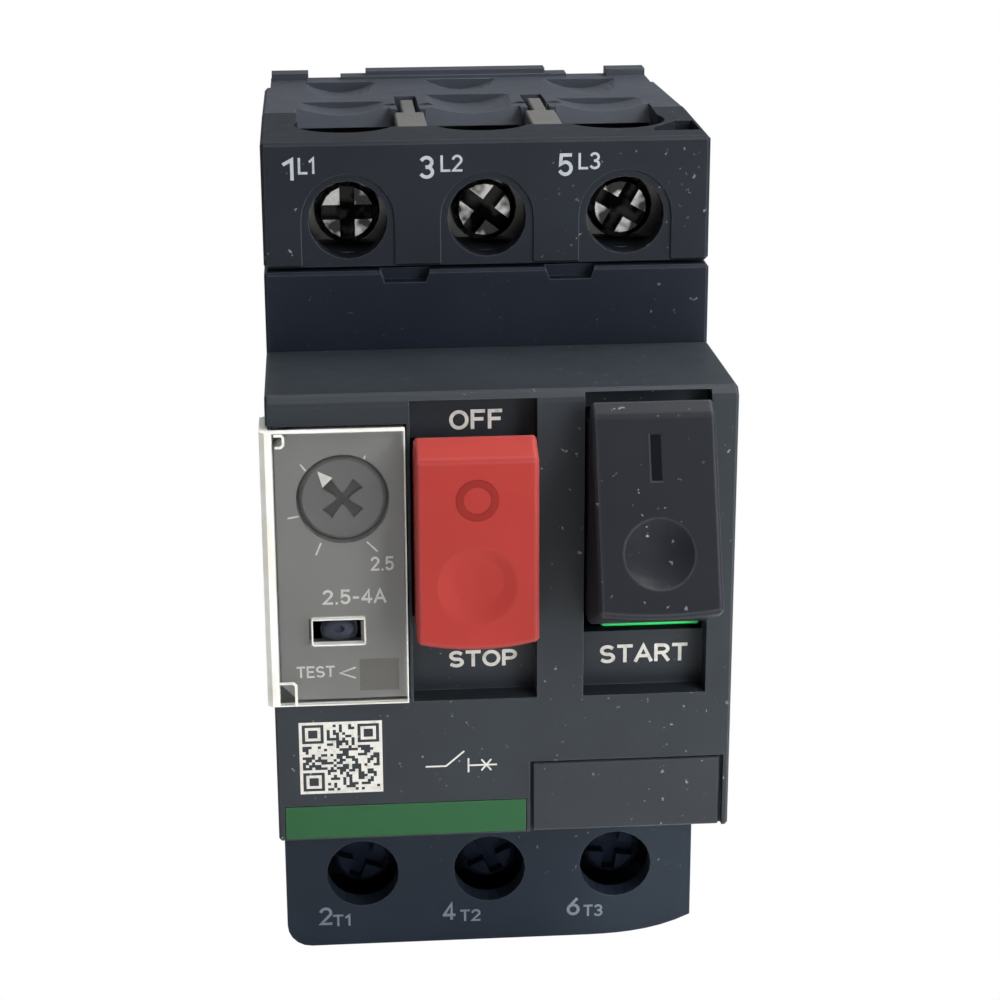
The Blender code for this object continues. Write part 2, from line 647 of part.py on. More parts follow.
# ---- nose ---------------------------------------------------------------------------------
def make_nose_cover():
    chamfer = 0.9 * MM
    crown = NOSE_HIGH + 0.7 * MM
    outline = [
        (NOSE_REAR, NOSE_LOW),
        (NOSE_FACE, NOSE_LOW),
        (NOSE_FACE, NOSE_HIGH - 0.1 * MM),
        (NOSE_FACE + chamfer, crown),
        (NOSE_REAR, NOSE_HIGH),
    ]
    nose = part("nose_cover", prism(outline, "x", -HALF_WIDTH, HALF_WIDTH), charcoal("nose"), 0.25 * MM)
    inside = HALF_WIDTH - NOSE_WALL
    floor_rear = FLOOR_Y + WELL_FLOOR
    cut(nose, block((-inside, floor_rear, NOSE_LOW + NOSE_WALL), (inside, NOSE_REAR + 1.0 * MM, NOSE_HIGH - NOSE_WALL)))
    cut(nose, block(
        (-inside + 0.1 * MM, NOSE_FACE + NOSE_WALL, NOSE_LOW + NOSE_WALL + 0.1 * MM),
        (inside - 0.1 * MM, floor_rear + 1.0 * MM, WELL_LOW - 1.5 * MM)))

    # button wells and the openings in their floors
    half = WELL_WIDTH / 2
    for x, top in ((STOP_X, NOSE_HIGH + 0.05 * MM), (START_X, WELL_HIGH)):
        cut(nose, block((x - half, NOSE_FACE - 1.0 * MM, WELL_LOW), (x + half, FLOOR_Y, top)))
    for x, low, high in ((STOP_X, STOP_LOW, STOP_HIGH), (START_X, START_LOW - 2.2 * MM, START_HIGH)):
        side = half - 0.02 * MM
        opening = block(
            (x - side, FLOOR_Y - 0.5 * MM, low - WELL_CLEARANCE),
            (x + side, floor_rear + 0.5 * MM, min(high + WELL_CLEARANCE, NOSE_HIGH - NOSE_WALL - 0.05 * MM)))
        cut(nose, opening)

    # recess for the setting plate, with the holes behind it
    recess_floor = PLATE_FRONT + PLATE_THICK + GAP
    cut(nose, block(
        (PLATE_LEFT - GAP, NOSE_FACE - 1.0 * MM, PLATE_LOW - GAP),
        (PLATE_RIGHT + GAP, recess_floor, PLATE_HIGH + GAP)))
    cut(nose, block(
        (-inside + 0.2 * MM, recess_floor + NOSE_WALL, PLATE_LOW + 1.0 * MM),
        (PLATE_RIGHT - 0.8 * MM, floor_rear + 1.0 * MM, PLATE_HIGH - 0.5 * MM)))
    cut(nose, rod((DIAL_X, recess_floor, DIAL_Z), 2.0 * MM, 6.0 * MM, "y", 24))
    cut(nose, block(
        (TEST_X - 2.6 * MM, recess_floor - 0.5 * MM, TEST_Z - 2.0 * MM),
        (TEST_X + 2.0 * MM, floor_rear + 1.1 * MM, TEST_Z + 2.0 * MM)))

    # relief for the lid's side wall, and a notch and pin socket at each hinge knuckle
    cut(nose, block(
        (-HALF_WIDTH - 1.0 * MM, NOSE_FACE - 0.9 * MM, LID_LOW - GAP),
        (-HALF_WIDTH + 0.5 * MM, HINGE_Y + 1.3 * MM, LID_HIGH + GAP)))
    for low, high in KNUCKLES:
        cut(nose, block(
            (-HALF_WIDTH - 0.9 * MM, HINGE_Y - 1.4 * MM, low - GAP),
            (HINGE_X + 1.1 * MM, HINGE_Y + 1.8 * MM, high + GAP)))
    for z in (LID_LOW - 0.9 * MM, LID_HIGH + 0.9 * MM):
        cut(nose, rod((HINGE_X, HINGE_Y, z), 0.7 * MM, 2.0 * MM, "z", 16))

    # recesses for the marker plate and the stripe
    cut(nose, block(
        (MARKER_LEFT - GAP, NOSE_FACE - 1.0 * MM, NOSE_LOW - 1.0 * MM),
        (MARKER_RIGHT + GAP, NOSE_FACE + MARKER_RECESS, MARKER_HIGH + GAP)))
    cut(nose, block(
        (STRIPE_LEFT, NOSE_FACE - 1.0 * MM, STRIPE_LOW - 0.1 * MM),
        (STRIPE_RIGHT, NOSE_FACE + STRIPE_RECESS, STRIPE_HIGH + 0.1 * MM)))
    return nose


STOP_LOW = NOSE_LOW + 22.6 * MM
STOP_HIGH = NOSE_LOW + 40.1 * MM
START_LOW = NOSE_LOW + 22.6 * MM
START_HIGH = NOSE_HIGH - 1.9 * MM
LID_LOW = PLATE_LOW - 0.2 * MM
LID_HIGH = PLATE_HIGH + 0.1 * MM
HINGE_X = -HALF_WIDTH + 0.75 * MM
HINGE_Y = NOSE_FACE + 4.1 * MM
KNUCKLES = ((LID_LOW, LID_LOW + 2.5 * MM), (LID_HIGH - 2.5 * MM, LID_HIGH))
MARKER_LEFT = 2.8 * MM
MARKER_RIGHT = HALF_WIDTH - 0.9 * MM
MARKER_HIGH = NOSE_LOW + 7.4 * MM
MARKER_RECESS = 0.9 * MM
STRIPE_LEFT = -HALF_WIDTH + 0.6 * MM
STRIPE_RIGHT = MARKER_LEFT - 0.6 * MM
STRIPE_LOW = NOSE_LOW + 0.25 * MM
STRIPE_HIGH = STRIPE_LOW + 3.4 * MM
STRIPE_RECESS = 0.35 * MM


def make_setting_plate():
    corner = 1.6 * MM
    outline = [
        (PLATE_LEFT + corner, PLATE_LOW),
        (PLATE_RIGHT, PLATE_LOW),
        (PLATE_RIGHT, PLATE_HIGH),
        (PLATE_LEFT + corner, PLATE_HIGH),
        (PLATE_LEFT, PLATE_HIGH - corner),
        (PLATE_LEFT, PLATE_LOW + corner),
    ]
    rear = PLATE_FRONT + PLATE_THICK
    grey = make_material("setting plate", (0.13, 0.135, 0.14), 0.5)
    plate = part("setting_plate", prism(outline, "y", PLATE_FRONT, rear), grey, 0.1 * MM)
    cut(plate, rod((DIAL_X, PLATE_FRONT, DIAL_Z), DIAL_R + GAP, 6.0 * MM, "y", 32))
    half = TEST_R + GAP
    cut(plate, block(
        (TEST_X - half - TEST_TRAVEL, PLATE_FRONT - 1.0 * MM, TEST_Z - TEST_HALF_HIGH - GAP),
        (TEST_X + half, rear + 1.0 * MM, TEST_Z + TEST_HALF_HIGH + GAP)))
    return plate


def make_current_dial():
    floor = PLATE_FRONT + PLATE_THICK + GAP
    front = 0.25 * MM
    disc = PLATE_THICK
    neck = disc + GAP + NOSE_WALL + GAP
    profile = [
        (0.0, -front),
        (DIAL_R - 0.3 * MM, -front),
        (DIAL_R, -front - 0.3 * MM),
        (DIAL_R, -disc),
        (1.6 * MM, -disc),
        (1.6 * MM, -neck),
        (2.5 * MM, -neck),
        (2.5 * MM, -neck - 1.2 * MM),
        (0.0, -neck - 1.2 * MM),
    ]
    dark = make_material("dial", (0.05, 0.052, 0.055), 0.45)
    dial = turned("current_dial", profile, dark, (DIAL_X, PLATE_FRONT, DIAL_Z), (0, -1, 0), 32)
    # crossed recess for a screwdriver, its arms wider at their ends
    arms = [(-2.1, -0.62), (-0.9, -0.38), (0.9, -0.38), (2.1, -0.62), (2.1, 0.62), (0.9, 0.38), (-0.9, 0.38), (-2.1, 0.62)]
    for degrees in (45, 135):
        c, s = cos(radians(degrees)) * MM, sin(radians(degrees)) * MM
        outline = [(DIAL_X + u * c - v * s, DIAL_Z + u * s + v * c) for u, v in arms]
        cut(dial, prism(outline, "y", PLATE_FRONT - 1.0 * MM, PLATE_FRONT + 0.8 * MM))
    return dial, floor


def make_sealing_cover():
    """Clear lid: a front wall, a side wall, two hinge knuckles with stub pins, and a window."""
    clear = make_material("clear lid", (0.9, 0.92, 0.92), 0.05, 0.0, 0.3)
    front = NOSE_FACE - 1.2 * MM
    rear = front + LID_THICK
    left = -HALF_WIDTH - 0.6 * MM
    side = left + 0.8 * MM
    outline = [
        (left + 0.5 * MM, front),
        (PLATE_RIGHT + 0.1 * MM, front),
        (PLATE_RIGHT + 0.1 * MM, rear),
        (side, rear),
        (side, HINGE_Y - 1.25 * MM),
        (left, HINGE_Y - 1.25 * MM),
        (left, front + 0.5 * MM),
    ]
    lid = part("sealing_cover", prism(outline, "z", LID_LOW, LID_HIGH), clear)
    for low, high in KNUCKLES:
        arm = block((left + 0.02 * MM, HINGE_Y - 2.0 * MM, low + 0.02 * MM), (side - 0.02 * MM, HINGE_Y, high - 0.02 * MM))
        middle = (low + high) / 2
        barrel = rod((HINGE_X, HINGE_Y, middle), 0.8 * MM, high - low - 0.04 * MM, "z", 16)
        bridge = block((left + 0.3 * MM, HINGE_Y - 0.5 * MM, low + 0.04 * MM), (HINGE_X, HINGE_Y + 0.3 * MM, high - 0.04 * MM))
        add(lid, arm, barrel, bridge)
    for z in (LID_LOW - 0.1 * MM, LID_HIGH + 0.1 * MM):
        add(lid, rod((HINGE_X, HINGE_Y, z), 0.4 * MM, 1.6 * MM, "z", 12))
    cut(lid, block(
        (TEST_X - 2.5 * MM, front - 1.0 * MM, TEST_Z - 1.0 * MM),
        (TEST_X + 2.4 * MM, rear + 0.5 * MM, TEST_Z + 1.5 * MM)))
    return lid


def make_marker_plate():
    shade = charcoal("marker plate")
    mesh = block(
        (MARKER_LEFT, NOSE_FACE + 0.25 * MM, NOSE_LOW + 0.05 * MM),
        (MARKER_RIGHT, NOSE_FACE + MARKER_RECESS - 0.05 * MM, MARKER_HIGH))
    return part("marker_plate", mesh, shade, 0.15 * MM)


def make_stripe():
    green = make_material("stripe", (0.035, 0.17, 0.06), 0.5)
    mesh = block(
        (STRIPE_LEFT + 0.1 * MM, NOSE_FACE - 0.02 * MM, STRIPE_LOW),
        (STRIPE_RIGHT - 0.1 * MM, NOSE_FACE + STRIPE_RECESS - 0.05 * MM, STRIPE_HIGH))
    return part("green_stripe", mesh, green)


# ---- buttons ------------------------------------------------------------------------------
def button_mesh(centre_x, profile, lip, drop):
    """A button swept across its width; the lip points hang lower in the middle than at the sides."""
    steps = 8
    rings = []
    for i in range(steps + 1):
        share = -1 + 2 * i / steps
        x = centre_x + BUTTON_WIDTH / 2 * share
        bulge = drop * (1 - share * share)
        rings.append([(x, y, z - bulge if k in lip else z) for k, (y, z) in enumerate(profile)])
    return loft(rings)


def make_stop_button():
    front = NOSE_FACE - 5.2 * MM
    crease = NOSE_LOW + 40.4 * MM
    profile = [
        (front, STOP_LOW - 0.2 * MM),
        (front, STOP_LOW + 1.4 * MM),
        (front + 0.4 * MM, crease),
        (NOSE_FACE - 1.3 * MM, crease + 1.4 * MM),
        (NOSE_FACE - 1.3 * MM, STOP_HIGH),
        (BUTTON_REAR, STOP_HIGH),
        (BUTTON_REAR, STOP_LOW),
        (NOSE_FACE - 0.6 * MM, STOP_LOW),
        (front + 0.9 * MM, STOP_LOW - 0.2 * MM),
    ]
    red = make_material("stop button", (0.62, 0.05, 0.035), 0.35)
    button = part("stop_button", button_mesh(STOP_X, profile, (0, 8), 0.7 * MM), red, 0.3 * MM)
    stem_front = BUTTON_REAR - 1.0 * MM
    stem_rear = PIVOT_Y - LEVER_THICK / 2 - GAP - 1.3 * MM
    stem_half = 3.0 * MM
    add(button, block(
        (STOP_X - stem_half, stem_front, STOP_NIB_Z - 2.6 * MM),
        (STOP_X + stem_half, stem_rear, STOP_NIB_Z + 1.6 * MM)))
    add(button, nib(STOP_X, stem_half - 0.2 * MM, stem_rear, STOP_NIB_Z))
    reach = 12.5 * MM
    cut(button, ball((STOP_X, front + 0.25 * MM - reach + 0.5 * MM, NOSE_LOW + 28.4 * MM), reach, 32))
    smooth(button)
    return button


def make_start_button():
    lip_y = -SEAT_TO_LIP
    crease_y = lip_y + 7.6 * MM
    lip_z = START_LOW + 4.6 * MM
    crease_z = NOSE_HIGH - 0.7 * MM
    rise = 0.13
    profile = [
        (lip_y, lip_z),
        (lip_y + rise * (crease_y - lip_y), lip_z + rise * (crease_z - lip_z)),
        (crease_y, crease_z),
        (NOSE_FACE - 1.9 * MM, crease_z + 1.0 * MM),
        (NOSE_FACE - 1.9 * MM, START_HIGH),
        (BUTTON_REAR, START_HIGH),
        (BUTTON_REAR, START_LOW),
        (FLOOR_Y - START_TRAVEL - GAP, START_LOW),
        (lip_y + 1.0 * MM, lip_z - 0.7 * MM),
    ]
    black = make_material("start button", (0.012, 0.012, 0.014), 0.4)
    button = part("start_button", button_mesh(START_X, profile, (0, 8), 0.45 * MM), black, 0.3 * MM)
    stem_front = BUTTON_REAR - 1.0 * MM
    stem_rear = PIVOT_Y - LEVER_THICK / 2 - GAP - 1.3 * MM
    stem_half = 2.8 * MM
    add(button, block(
        (START_X - stem_half, stem_front, START_NIB_Z - 3.0 * MM),
        (START_X + stem_half, stem_rear, START_NIB_Z + 1.6 * MM)))
    add(button, nib(START_X, stem_half - 0.2 * MM, stem_rear, START_NIB_Z))
    # thumb dimple, square to the sloping face
    lean = atan2(crease_y - lip_y, crease_z - lip_z)
    height = 5.0 * MM
    on_face = (lip_y + height * tan(lean), lip_z + height)
    reach = 6.4 * MM
    out = reach - 0.95 * MM
    cut(button, ball((START_X, on_face[0] - out * cos(lean), on_face[1] + out * sin(lean)), reach, 48))
    smooth(button)
    return button


def nib(x, half, stem_rear, z):
    """The narrow end of a stem that bears on a lever."""
    return block(
        (x - half, stem_rear - 0.5 * MM, z - NIB_HALF),
        (x + half, stem_rear + 1.3 * MM, z + NIB_HALF))


def make_state_flag():
    green = make_material("state flag", (0.03, 0.62, 0.25), 0.35)
    half = BUTTON_WIDTH / 2 - 0.95 * MM
    centre = START_X + 0.8 * MM
    high = START_LOW - GAP
    mesh = block(
        (centre - half, FLOOR_Y - 0.3 * MM, high - 1.6 * MM),
        (centre + half, BUTTON_REAR, high))
    return part("state_flag", mesh, green, 0.15 * MM)


# ---- mechanism ----------------------------------------------------------------------------
def make_mechanism_frame():
    """Bent sheet steel: a back plate with two side plates."""
    right = HALF_WIDTH - WALL - GAP
    back_front = FRAME_REAR - FRAME_SHEET
    outline = [
        (FRAME_LEFT, FRAME_FRONT),
        (FRAME_LEFT + FRAME_SHEET, FRAME_FRONT),
        (FRAME_LEFT + FRAME_SHEET, back_front),
        (right - FRAME_SHEET, back_front),
        (right - FRAME_SHEET, FRAME_FRONT),
        (right, FRAME_FRONT),
        (right, FRAME_REAR),
        (FRAME_LEFT, FRAME_REAR),
    ]
    frame = part("mechanism_frame", prism(outline, "z", FRAME_LOW, FRAME_HIGH), steel("mechanism frame"))
    cut(frame, rod(((FRAME_LEFT + right) / 2, PIVOT_Y, PIVOT_Z), PIN_R + 0.3 * MM, 60.0 * MM, "x", 20))
    cut(frame, block(
        (START_X - 2.3 * MM, back_front - 1.0 * MM, CARRIER_NIB_Z - 1.7 * MM),
        (START_X + 2.3 * MM, FRAME_REAR + 1.0 * MM, CARRIER_NIB_Z + 1.9 * MM)))
    # slanted front corners of the side plates
    corner = 6.0 * MM
    for edge, turn in ((FRAME_HIGH, -1), (FRAME_LOW, 1)):
        wedge = [
            (FRAME_FRONT - 1.0 * MM, edge + turn * (corner + 1.0 * MM)),
            (FRAME_FRONT + corner + 1.0 * MM, edge - turn * 1.0 * MM),
            (FRAME_FRONT - 1.0 * MM, edge - turn * 1.0 * MM),
        ]
        cut(frame, prism(wedge, "x", FRAME_LEFT - 1.0 * MM, right + 1.0 * MM))
    return frame


def make_pivot_pin():
    right = HALF_WIDTH - WALL - GAP
    length = right - FRAME_LEFT - 0.2 * MM
    middle = ((right + FRAME_LEFT) / 2, PIVOT_Y, PIVOT_Z)
    pin = part("pivot_pin", rod(middle, PIN_R, length, "x", 20), steel("pivot pin"))
    smooth(pin)
    return pin


def make_lever(name, centre_x, half, top, material):
    """A flat lever with a round boss on the pivot pin."""
    thick = LEVER_THICK / 2
    boss = PIN_R + 1.3 * MM
    shoulder = (boss * boss - thick * thick) ** 0.5
    start = atan2(shoulder, thick) * 180 / pi
    outline = arc((PIVOT_Y, PIVOT_Z), boss, 180 - start, 360 + start, 16)
    outline += [(PIVOT_Y + thick, top - 0.6 * MM), (PIVOT_Y + thick - 0.6 * MM, top)]
    outline += [(PIVOT_Y - thick + 0.6 * MM, top), (PIVOT_Y - thick, top - 0.6 * MM)]
    lever = part(name, prism(outline, "x", centre_x - half, centre_x + half), material)
    cut(lever, rod((centre_x, PIVOT_Y, PIVOT_Z), PIN_R + 0.3 * MM, 4 * half, "x", 20))
    return lever


def make_contact_carrier():
    """One bar across the poles with a post through each bridge and an arm to the lever."""
    reach = PITCH + BRIDGE_HALF + 1.6 * MM
    front = CARRIER_Y - CARRIER_THICK
    mesh = block((-reach, front, CARRIER_LOW), (reach, CARRIER_Y, CARRIER_HIGH))
    tan_plastic = make_material("carrier", (0.45, 0.36, 0.24), 0.5)
    carrier = part("contact_carrier", mesh, tan_plastic, 0.3 * MM)
    middle = (CARRIER_LOW + CARRIER_HIGH) / 2
    for x in POLES:
        post_end = BRIDGE_Y + BRIDGE_THICK + 0.9 * MM
        low = (x - 1.0 * MM, CARRIER_Y - 1.0 * MM, middle - 1.0 * MM)
        add(carrier, block(low, (x + 1.0 * MM, post_end, middle + 1.0 * MM)))
    arm = 1.8 * MM
    nib_end = PIVOT_Y + LEVER_THICK / 2 + GAP
    add(carrier, block(
        (START_X - arm, front + 0.1 * MM, CARRIER_NIB_Z - 1.1 * MM),
        (START_X + arm, CARRIER_Y - 0.1 * MM, CARRIER_LOW + 1.0 * MM)))
    add(carrier, block(
        (START_X - arm + 0.05 * MM, nib_end + 1.5 * MM, CARRIER_NIB_Z - 1.05 * MM),
        (START_X + arm - 0.05 * MM, front + 1.0 * MM, CARRIER_NIB_Z + 1.3 * MM)))
    add(carrier, block(
        (START_X - arm + 0.1 * MM, nib_end, CARRIER_NIB_Z - NIB_HALF),
        (START_X + arm - 0.1 * MM, nib_end + 2.0 * MM, CARRIER_NIB_Z + NIB_HALF)))
    return carrier


def make_trip_slide():
    """Slide across the poles, notched round each bimetal's tip; its stem ends in the test button."""
    reach_left = 1.5 * PITCH - PARTITION / 2 - TEST_TRAVEL - 2 * GAP
    reach_right = PITCH + 3.4 * MM
    mesh = block((-reach_left, SLIDE_Y, SLIDE_LOW), (reach_right, SLIDE_Y + SLIDE_DEPTH, SLIDE_HIGH))
    slide = part("trip_slide", mesh, make_material("trip slide", (0.035, 0.037, 0.04), 0.4), 0.2 * MM)
    for x in POLES:
        low = (x - BIMETAL_HALF - 1.3 * MM, BIMETAL_Y - 0.5 * MM, SLIDE_LOW - 1.0 * MM)
        high = (x + BIMETAL_HALF + TEST_TRAVEL + 0.1 * MM, SLIDE_Y + SLIDE_DEPTH + 1.0 * MM, SLIDE_HIGH + 1.0 * MM)
        cut(slide, block(low, high))
    stem_end = PLATE_FRONT + 1.6 * MM
    add(slide, block(
        (TEST_X - 1.2 * MM, stem_end, TEST_Z - 1.4 * MM),
        (TEST_X + 1.2 * MM, SLIDE_Y + 0.6 * MM, TEST_Z + 0.8 * MM)))
    front = PLATE_FRONT + 0.4 * MM
    add(slide, rod((TEST_X, front + 1.0 * MM, TEST_Z), TEST_R, 2.0 * MM, "y", 20, TEST_R - 0.2 * MM))
    for side in (-1, 1):
        flat = TEST_Z + side * TEST_HALF_HIGH
        beyond = flat + side * 2.0 * MM
        cut(slide, block(
            (TEST_X - TEST_R - GAP, PLATE_FRONT, min(flat, beyond)),
            (TEST_X + TEST_R + GAP, PLATE_FRONT + 1.5 * MM, max(flat, beyond))))
    cut(slide, rod((TEST_X, front, TEST_Z), 0.45 * MM, 1.6 * MM, "y", 12))
    return slide


# ---- terminals and poles ------------------------------------------------------------------
TERMINALS = [
    (f"{row}_{number}", x, face, screw, side)
    for row, face, screw, side in (("line", FACE, UPPER_SCREW, 1), ("load", LOWER_FACE, LOWER_SCREW, -1))
    for number, x in enumerate(POLES, start=1)
]
CLAMP_FRONT = HEAD_DEPTH + HEAD_THICK + GAP
BAR_FRONT = CLAMP_FRONT + CLAMP_THICK + CLAMP_TRAVEL + GAP


SCREW_TURNS = (0, 38, 30, 20, 65, 8)  # degrees each cross recess happens to stand at


def make_terminal_screw(name, x, face, screw, degrees):
    """Pan head screw with a cross recess, tip to the rear."""
    front = face + HEAD_DEPTH
    end = -HEAD_THICK - SHANK_LENGTH
    profile = [
        (0.0, 0.0),
        (HEAD_R - 0.7 * MM, 0.0),
        (HEAD_R - 0.2 * MM, -0.35 * MM),
        (HEAD_R, -0.9 * MM),
        (HEAD_R, -HEAD_THICK),
        (SHANK_R, -HEAD_THICK),
        (SHANK_R, end + 0.6 * MM),
        (SHANK_R - 0.6 * MM, end),
        (0.0, end),
    ]
    screw_part = turned(name, profile, steel(name), (x, front, screw), (0, -1, 0), 20)
    for turn in (0, pi / 2):
        bm = bmesh.new()
        bmesh.ops.create_cube(bm, size=1.0)
        bmesh.ops.scale(bm, vec=(5.2 * MM, 2.6 * MM, 1.5 * MM), verts=bm.verts)
        spin = Matrix.Rotation(turn + radians(degrees), 4, "Y")
        bmesh.ops.transform(bm, matrix=Matrix.Translation((x, front, screw)) @ spin, verts=bm.verts)
        cut(screw_part, finish_mesh("recess", bm))
    return screw_part


def make_clamp_plate(name, x, face, screw):
    """Pressure plate under the screw head, with a lip down each side of the bar."""
    front = face + CLAMP_FRONT
    rear = front + CLAMP_THICK
    half = CHAMBER_HALF - 0.4 * MM
    lip = 0.7 * MM
    inner = half - lip
    hook = 1.0 * MM
    outline = [
        (x - half, front),
        (x + half, front),
        (x + half, rear + hook),
        (x + inner, rear + hook),
        (x + inner, rear),
        (x - inner, rear),
        (x - inner, rear + hook),
        (x - half, rear + hook),
    ]
    plate = part(name, prism(outline, "z", screw - 3.3 * MM, screw + 3.3 * MM), steel(name))
    cut(plate, rod((x, front, screw), SHANK_R + 0.3 * MM, 8.0 * MM, "y", 20))
    return plate


def make_line_terminal(name, x):
    """Terminal plate, run to the rear, and a drop with the fixed contact's tip."""
    front = FACE + BAR_FRONT
    outer = UPPER_SCREW + BAR_REACH
    inner = UPPER_SCREW - BAR_REACH
    rear = CONTACT_Y + STRIP
    outline = [
        (front, inner),
        (front, outer),
        (front + BAR_THICK, outer),
        (front + BAR_THICK, inner + STRIP),
        (rear, inner + STRIP),
        (rear, UPPER_TIP_Z - TIP_HALF),
        (CONTACT_Y - TIP, UPPER_TIP_Z - TIP_HALF),
        (CONTACT_Y - TIP, UPPER_TIP_Z + TIP_HALF),
        (CONTACT_Y, UPPER_TIP_Z + TIP_HALF),
        (CONTACT_Y, inner),
    ]
    bar = part(name, prism(outline, "x", x - BAR_HALF, x + BAR_HALF), copper(name))
    cut(bar, rod((x, front, UPPER_SCREW), SHANK_R + 0.3 * MM, 8.0 * MM, "y", 20))
    return bar


def make_load_terminal(name, x):
    """Terminal plate and a run to the rear that carries the bimetal."""
    front = LOWER_FACE + BAR_FRONT
    outer = LOWER_SCREW - BAR_REACH
    inner = LOWER_SCREW + BAR_REACH
    rear = BIMETAL_Y + BIMETAL_DEPTH + 0.6 * MM
    outline = [
        (front, inner),
        (front, outer),
        (front + BAR_THICK, outer),
        (front + BAR_THICK, inner - STRIP),
        (rear, inner - STRIP),
        (rear, inner),
    ]
    bar = part(name, prism(outline, "x", x - BAR_HALF, x + BAR_HALF), copper(name))
    cut(bar, rod((x, front, LOWER_SCREW), SHANK_R + 0.3 * MM, 8.0 * MM, "y", 20))
    return bar


def make_load_contact(name, x):
    """Angle strip over the bobbin that ends in the lower fixed contact."""
    foot = COIL_HIGH + 1.5 * MM + GAP
    outline = [
        (CONTACT_Y - 4.0 * MM, foot),
        (CONTACT_Y + STRIP, foot),
        (CONTACT_Y + STRIP, LOWER_TIP_Z + TIP_HALF),
        (CONTACT_Y - TIP, LOWER_TIP_Z + TIP_HALF),
        (CONTACT_Y - TIP, LOWER_TIP_Z - TIP_HALF),
        (CONTACT_Y, LOWER_TIP_Z - TIP_HALF),
        (CONTACT_Y, foot + STRIP),
        (CONTACT_Y - 4.0 * MM, foot + STRIP),
    ]
    return part(name, prism(outline, "x", x - 2.5 * MM, x + 2.5 * MM), copper(name))


def make_moving_contact(name, x):
    """Contact bridge with a silver tip at each end and a hole for the carrier's post."""
    front = BRIDGE_Y
    rear = front + BRIDGE_THICK
    tip = rear + TIP
    low = LOWER_TIP_Z - TIP_HALF
    high = UPPER_TIP_Z + TIP_HALF
    outline = [
        (front, low + 0.4 * MM),
        (front + 0.4 * MM, low),
        (tip, low),
        (tip, low + 2 * TIP_HALF),
        (rear, low + 2 * TIP_HALF),
        (rear, high - 2 * TIP_HALF),
        (tip, high - 2 * TIP_HALF),
        (tip, high),
        (front + 0.4 * MM, high),
        (front, high - 0.4 * MM),
    ]
    bridge = part(name, prism(outline, "x", x - BRIDGE_HALF, x + BRIDGE_HALF), copper(name))
    middle = (CARRIER_LOW + CARRIER_HIGH) / 2
    hole = 1.3 * MM
    cut(bridge, block((x - hole, front - 1.0 * MM, middle - hole), (x + hole, rear + 1.0 * MM, middle + hole)))
    return bridge


def make_arc_chute(name, x):
    """Stack of splitter plates held by two cheeks."""
    low = UPPER_TIP_Z + TIP_HALF + 1.0 * MM
    high = UPPER_SCREW - BAR_REACH - GAP
    front = BRIDGE_Y - 5.3 * MM
    rear = CONTACT_Y - GAP
    half = PITCH / 2 - PARTITION / 2 - GAP
    cheek = 0.8 * MM
    chute = part(name, block((x - half, front, low), (x + half, rear, high)), steel(name))
    plates = 5
    thick = 0.8 * MM
    pitch = (high - low - thick) / plates
    for i in range(plates):
        slot_low = low + thick + i * pitch
        slot_high = slot_low + pitch - thick
        slot = block((x - half + cheek, front - 1.0 * MM, slot_low), (x + half - cheek, rear + 1.0 * MM, slot_high))
        cut(chute, slot)
    return chute


def make_bobbin(name, x):
    core = COIL_R * cos(pi / 8) - WIRE_R - GAP
    thick = 1.2 * MM
    low = COIL_LOW - GAP - thick
    high = COIL_HIGH + GAP + thick
    profile = [
        (0.0, high),
        (FLANGE_R, high),
        (FLANGE_R, high - thick),
        (core, high - thick),
        (core, low + thick),
        (FLANGE_R, low + thick),
        (FLANGE_R, low),
        (0.0, low),
    ]
    dark = make_material(name, (0.08, 0.08, 0.08), 0.5)
    return turned(name, profile, dark, (x, COIL_Y, 0), (0, 0, 1), 16)


def make_bimetal(name, x):
    foot = LOWER_SCREW + BAR_REACH + GAP
    mesh = block(
        (x - BIMETAL_HALF, BIMETAL_Y, foot),
        (x + BIMETAL_HALF, BIMETAL_Y + BIMETAL_DEPTH, BIMETAL_TOP))
    strip = part(name, mesh, steel(name))
    # slanted shoulders below the tip
    shoulder = [
        (BIMETAL_Y - 1.0 * MM, SLIDE_LOW - 6.0 * MM),
        (BIMETAL_Y + 1.2 * MM, SLIDE_LOW - 3.0 * MM),
        (BIMETAL_Y + 1.2 * MM, BIMETAL_TOP + 1.0 * MM),
        (BIMETAL_Y - 1.0 * MM, BIMETAL_TOP + 1.0 * MM),
    ]
    cut(strip, prism(shoulder, "x", x - 2.0 * MM, x + 2.0 * MM))
    return strip


# ---- rail latch and keys ------------------------------------------------------------------
def make_rail_latch():
    front = RAIL_FLANGE + GAP
    low = BOTTOM + 1.0 * MM
    nose = 1.2 * MM
    outline = [
        (front, low),
        (front + LATCH_THICK, low),
        (front + LATCH_THICK, LATCH_TOP - nose),
        (front + LATCH_THICK - nose, LATCH_TOP),
        (front, LATCH_TOP),
    ]
    latch = part("rail_latch", prism(outline, "x", -LATCH_HALF_WIDTH, LATCH_HALF_WIDTH), charcoal("latch"))
    low_window = LATCH_NUB - 2.0 * MM - 0.4 * MM
    cut(latch, block(
        (-1.8 * MM, front - 1.0 * MM, low_window),
        (1.8 * MM, front + LATCH_THICK + 1.0 * MM, LATCH_WINDOW_TOP)))
    # screwdriver slot near the lower end
    cut(latch, block(
        (-3.0 * MM, front - 1.0 * MM, low + 1.5 * MM),
        (3.0 * MM, front + LATCH_THICK + 1.0 * MM, low + 3.0 * MM)))
    return latch


